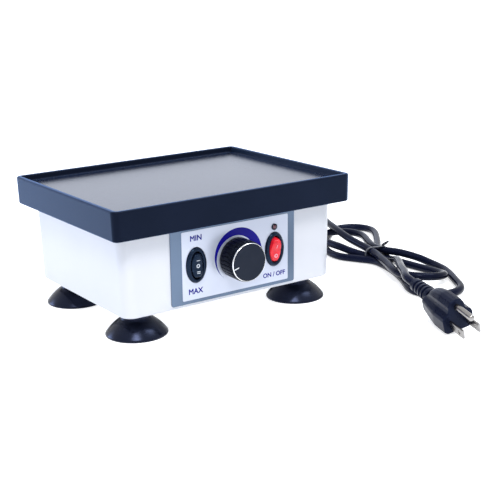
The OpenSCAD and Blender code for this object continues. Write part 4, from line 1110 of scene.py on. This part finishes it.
inside("copper", ["coil_winding"], (0.55, 0.20, 0.07), 0.3, drift=0.12, grain=1600,
       stretch=(0.05, 0.05, 1), depth=60, Metallic=0.9, Coat_Weight=0.4)

# %% Plastics inside
inside("pale_plastic", ["coil_bobbin", "terminal_block"], (0.74, 0.71, 0.62), 0.42, drift=0.04,
       grain=400)
inside("board", ["control_board"], (0.035, 0.17, 0.08), 0.3, drift=0.2, drift_scale=160,
       grain=1200, depth=10, Coat_Weight=0.5)
inside("blue_plastic", ["capacitors"], (0.03, 0.10, 0.30), 0.32, drift=0.08, grain=500)
inside("fuse_glass", ["fuse"], (0.85, 0.90, 0.92), 0.06, drift=0.02, grain=300, depth=0,
       Transmission_Weight=0.9, IOR=1.5)
dress(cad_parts["triac"], gloss_black, "black_plastic")
for slot, node, colour in (("wire_brown", "mains_wires", (0.13, 0.045, 0.02)),
                           ("wire_red", "control_wires", (0.35, 0.02, 0.02)),
                           ("wire_black", "coil_wires", (0.02, 0.02, 0.024))):
    inside(slot, [node], colour, 0.35, drift=0.08, grain=600)

# %% [markdown]
# ## Springs that give
# The plate stands on four coil springs, which shorten a little as it shakes. Each is a helix
# with half a turn flattened at both ends, so that it stands square in its cup. The four are
# one piece.

# %% The springs
SPRING_D, SPRING_WIRE, SPRING_TURNS, SPRING_STEPS = 15, 1.8, 5, 28
spring_lo, spring_hi = (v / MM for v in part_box("coil_springs"))
coil = (SPRING_D - SPRING_WIRE) / 2
spring_rise = spring_hi.z - spring_lo.z - SPRING_WIRE
helix = []
for k in range(SPRING_TURNS * SPRING_STEPS + 1):
    turn = k / SPRING_STEPS
    climb = min(max((turn - 0.5) / (SPRING_TURNS - 1), 0), 1)
    helix.append(Vector((*around(coil, 2 * math.pi * turn),
                         spring_lo.z + SPRING_WIRE / 2 + spring_rise * climb)))
springs = smoothed(joined("springs", [
    wire_mesh([point + Vector((x, y, 0)) for point in helix], SPRING_WIRE)
    for x in (spring_lo.x + SPRING_D / 2, spring_hi.x - SPRING_D / 2)
    for y in (spring_lo.y + SPRING_D / 2, spring_hi.y - SPRING_D / 2)]), 50)
dress(springs, zinc, "zinc")
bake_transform(springs)
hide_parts("coil_springs")
print("spring rise", round(spring_rise, 2), "mm")

# %% [markdown]
# ## Floor, backdrop and light
# The floor is pale and plain. To the camera, in reflections and through glass it is as white
# as the backdrop, and it still takes the object's soft shadow. Four large, dim panels light
# the object evenly, so that colours come out as they were written.

# %% Floor
bm = bmesh.new()
bmesh.ops.create_grid(bm, x_segments=2, y_segments=2, size=6)
floor = placed("floor", bpy.data.meshes.new("floor"))
bm.to_mesh(floor.data)
bm.free()
floor.location = (0, 0, -0.0002)
floor_paint, tree, shader = new_material("floor_paint")
fix(shader, {"Base Color": (0.9, 0.9, 0.9, 1), "Roughness": 0.9, "Specular IOR Level": 0.1})


def shown(tree, lit, seen):
    """One shader for light that falls on things, another for what is seen: camera, glossy
    and transmission rays."""
    path = add(tree, "ShaderNodeLightPath")
    directly = path.outputs["Is Camera Ray"]
    for ray in ("Is Glossy Ray", "Is Transmission Ray"):
        either = add(tree, "ShaderNodeMath")
        either.operation = "MAXIMUM"
        directly = feed(either, directly, path.outputs[ray])
    return feed(add(tree, "ShaderNodeMixShader"), directly, lit.outputs[0], seen.outputs[0])


dark, glow = (add(tree, "ShaderNodeEmission", Strength=strength) for strength in (0, 0.72))
both = feed(add(tree, "ShaderNodeAddShader"), shader.outputs[0], shown(tree, dark, glow))
link(both, tree.nodes["Material Output"].inputs["Surface"])
floor.data.materials.append(floor_paint)

# %% World and lamps
bpy.context.scene.view_settings.view_transform = "Standard"
world = bpy.data.worlds.new("studio")
bpy.context.scene.world = world
world.use_nodes = True
tree = world.node_tree
fill = tree.nodes["Background"]
fix(fill, {"Color": (0.82, 0.89, 1.0, 1), "Strength": 0.62})
white = add(tree, "ShaderNodeBackground", Color=(1, 1, 1, 1), Strength=1)
link(shown(tree, fill, white), tree.nodes["World Output"].inputs["Surface"])


def lamp(name, place, aim, size, power, colour):
    light = bpy.data.lights.new(name, "AREA")
    light.shape = "DISK"
    light.size = size
    light.energy = power
    light.color = colour
    piece = placed(name, light)
    piece.location = place
    piece.rotation_euler = (Vector(aim) - Vector(place)).to_track_quat("-Z", "Y").to_euler()


lamp("key", (-0.62, -0.92, 1.55), (0, 0, 0.05), 0.65, 17, (1, 0.985, 0.96))
lamp("side", (0.7, -0.35, 1.5), (0, 0, 0.05), 0.9, 13, (0.9, 0.95, 1))
lamp("back", (0.75, 1.3, 0.62), (0, 0, 0.08), 1.3, 1.4, (0.35, 0.55, 1))
lamp("left", (-0.95, 1.2, 0.3), (0, 0, 0.08), 0.7, 7, (0.5, 0.64, 1))

# %% [markdown]
# ## The end
# The scene is brought up to date a last time.

# %% Last update
bpy.context.view_layer.update()
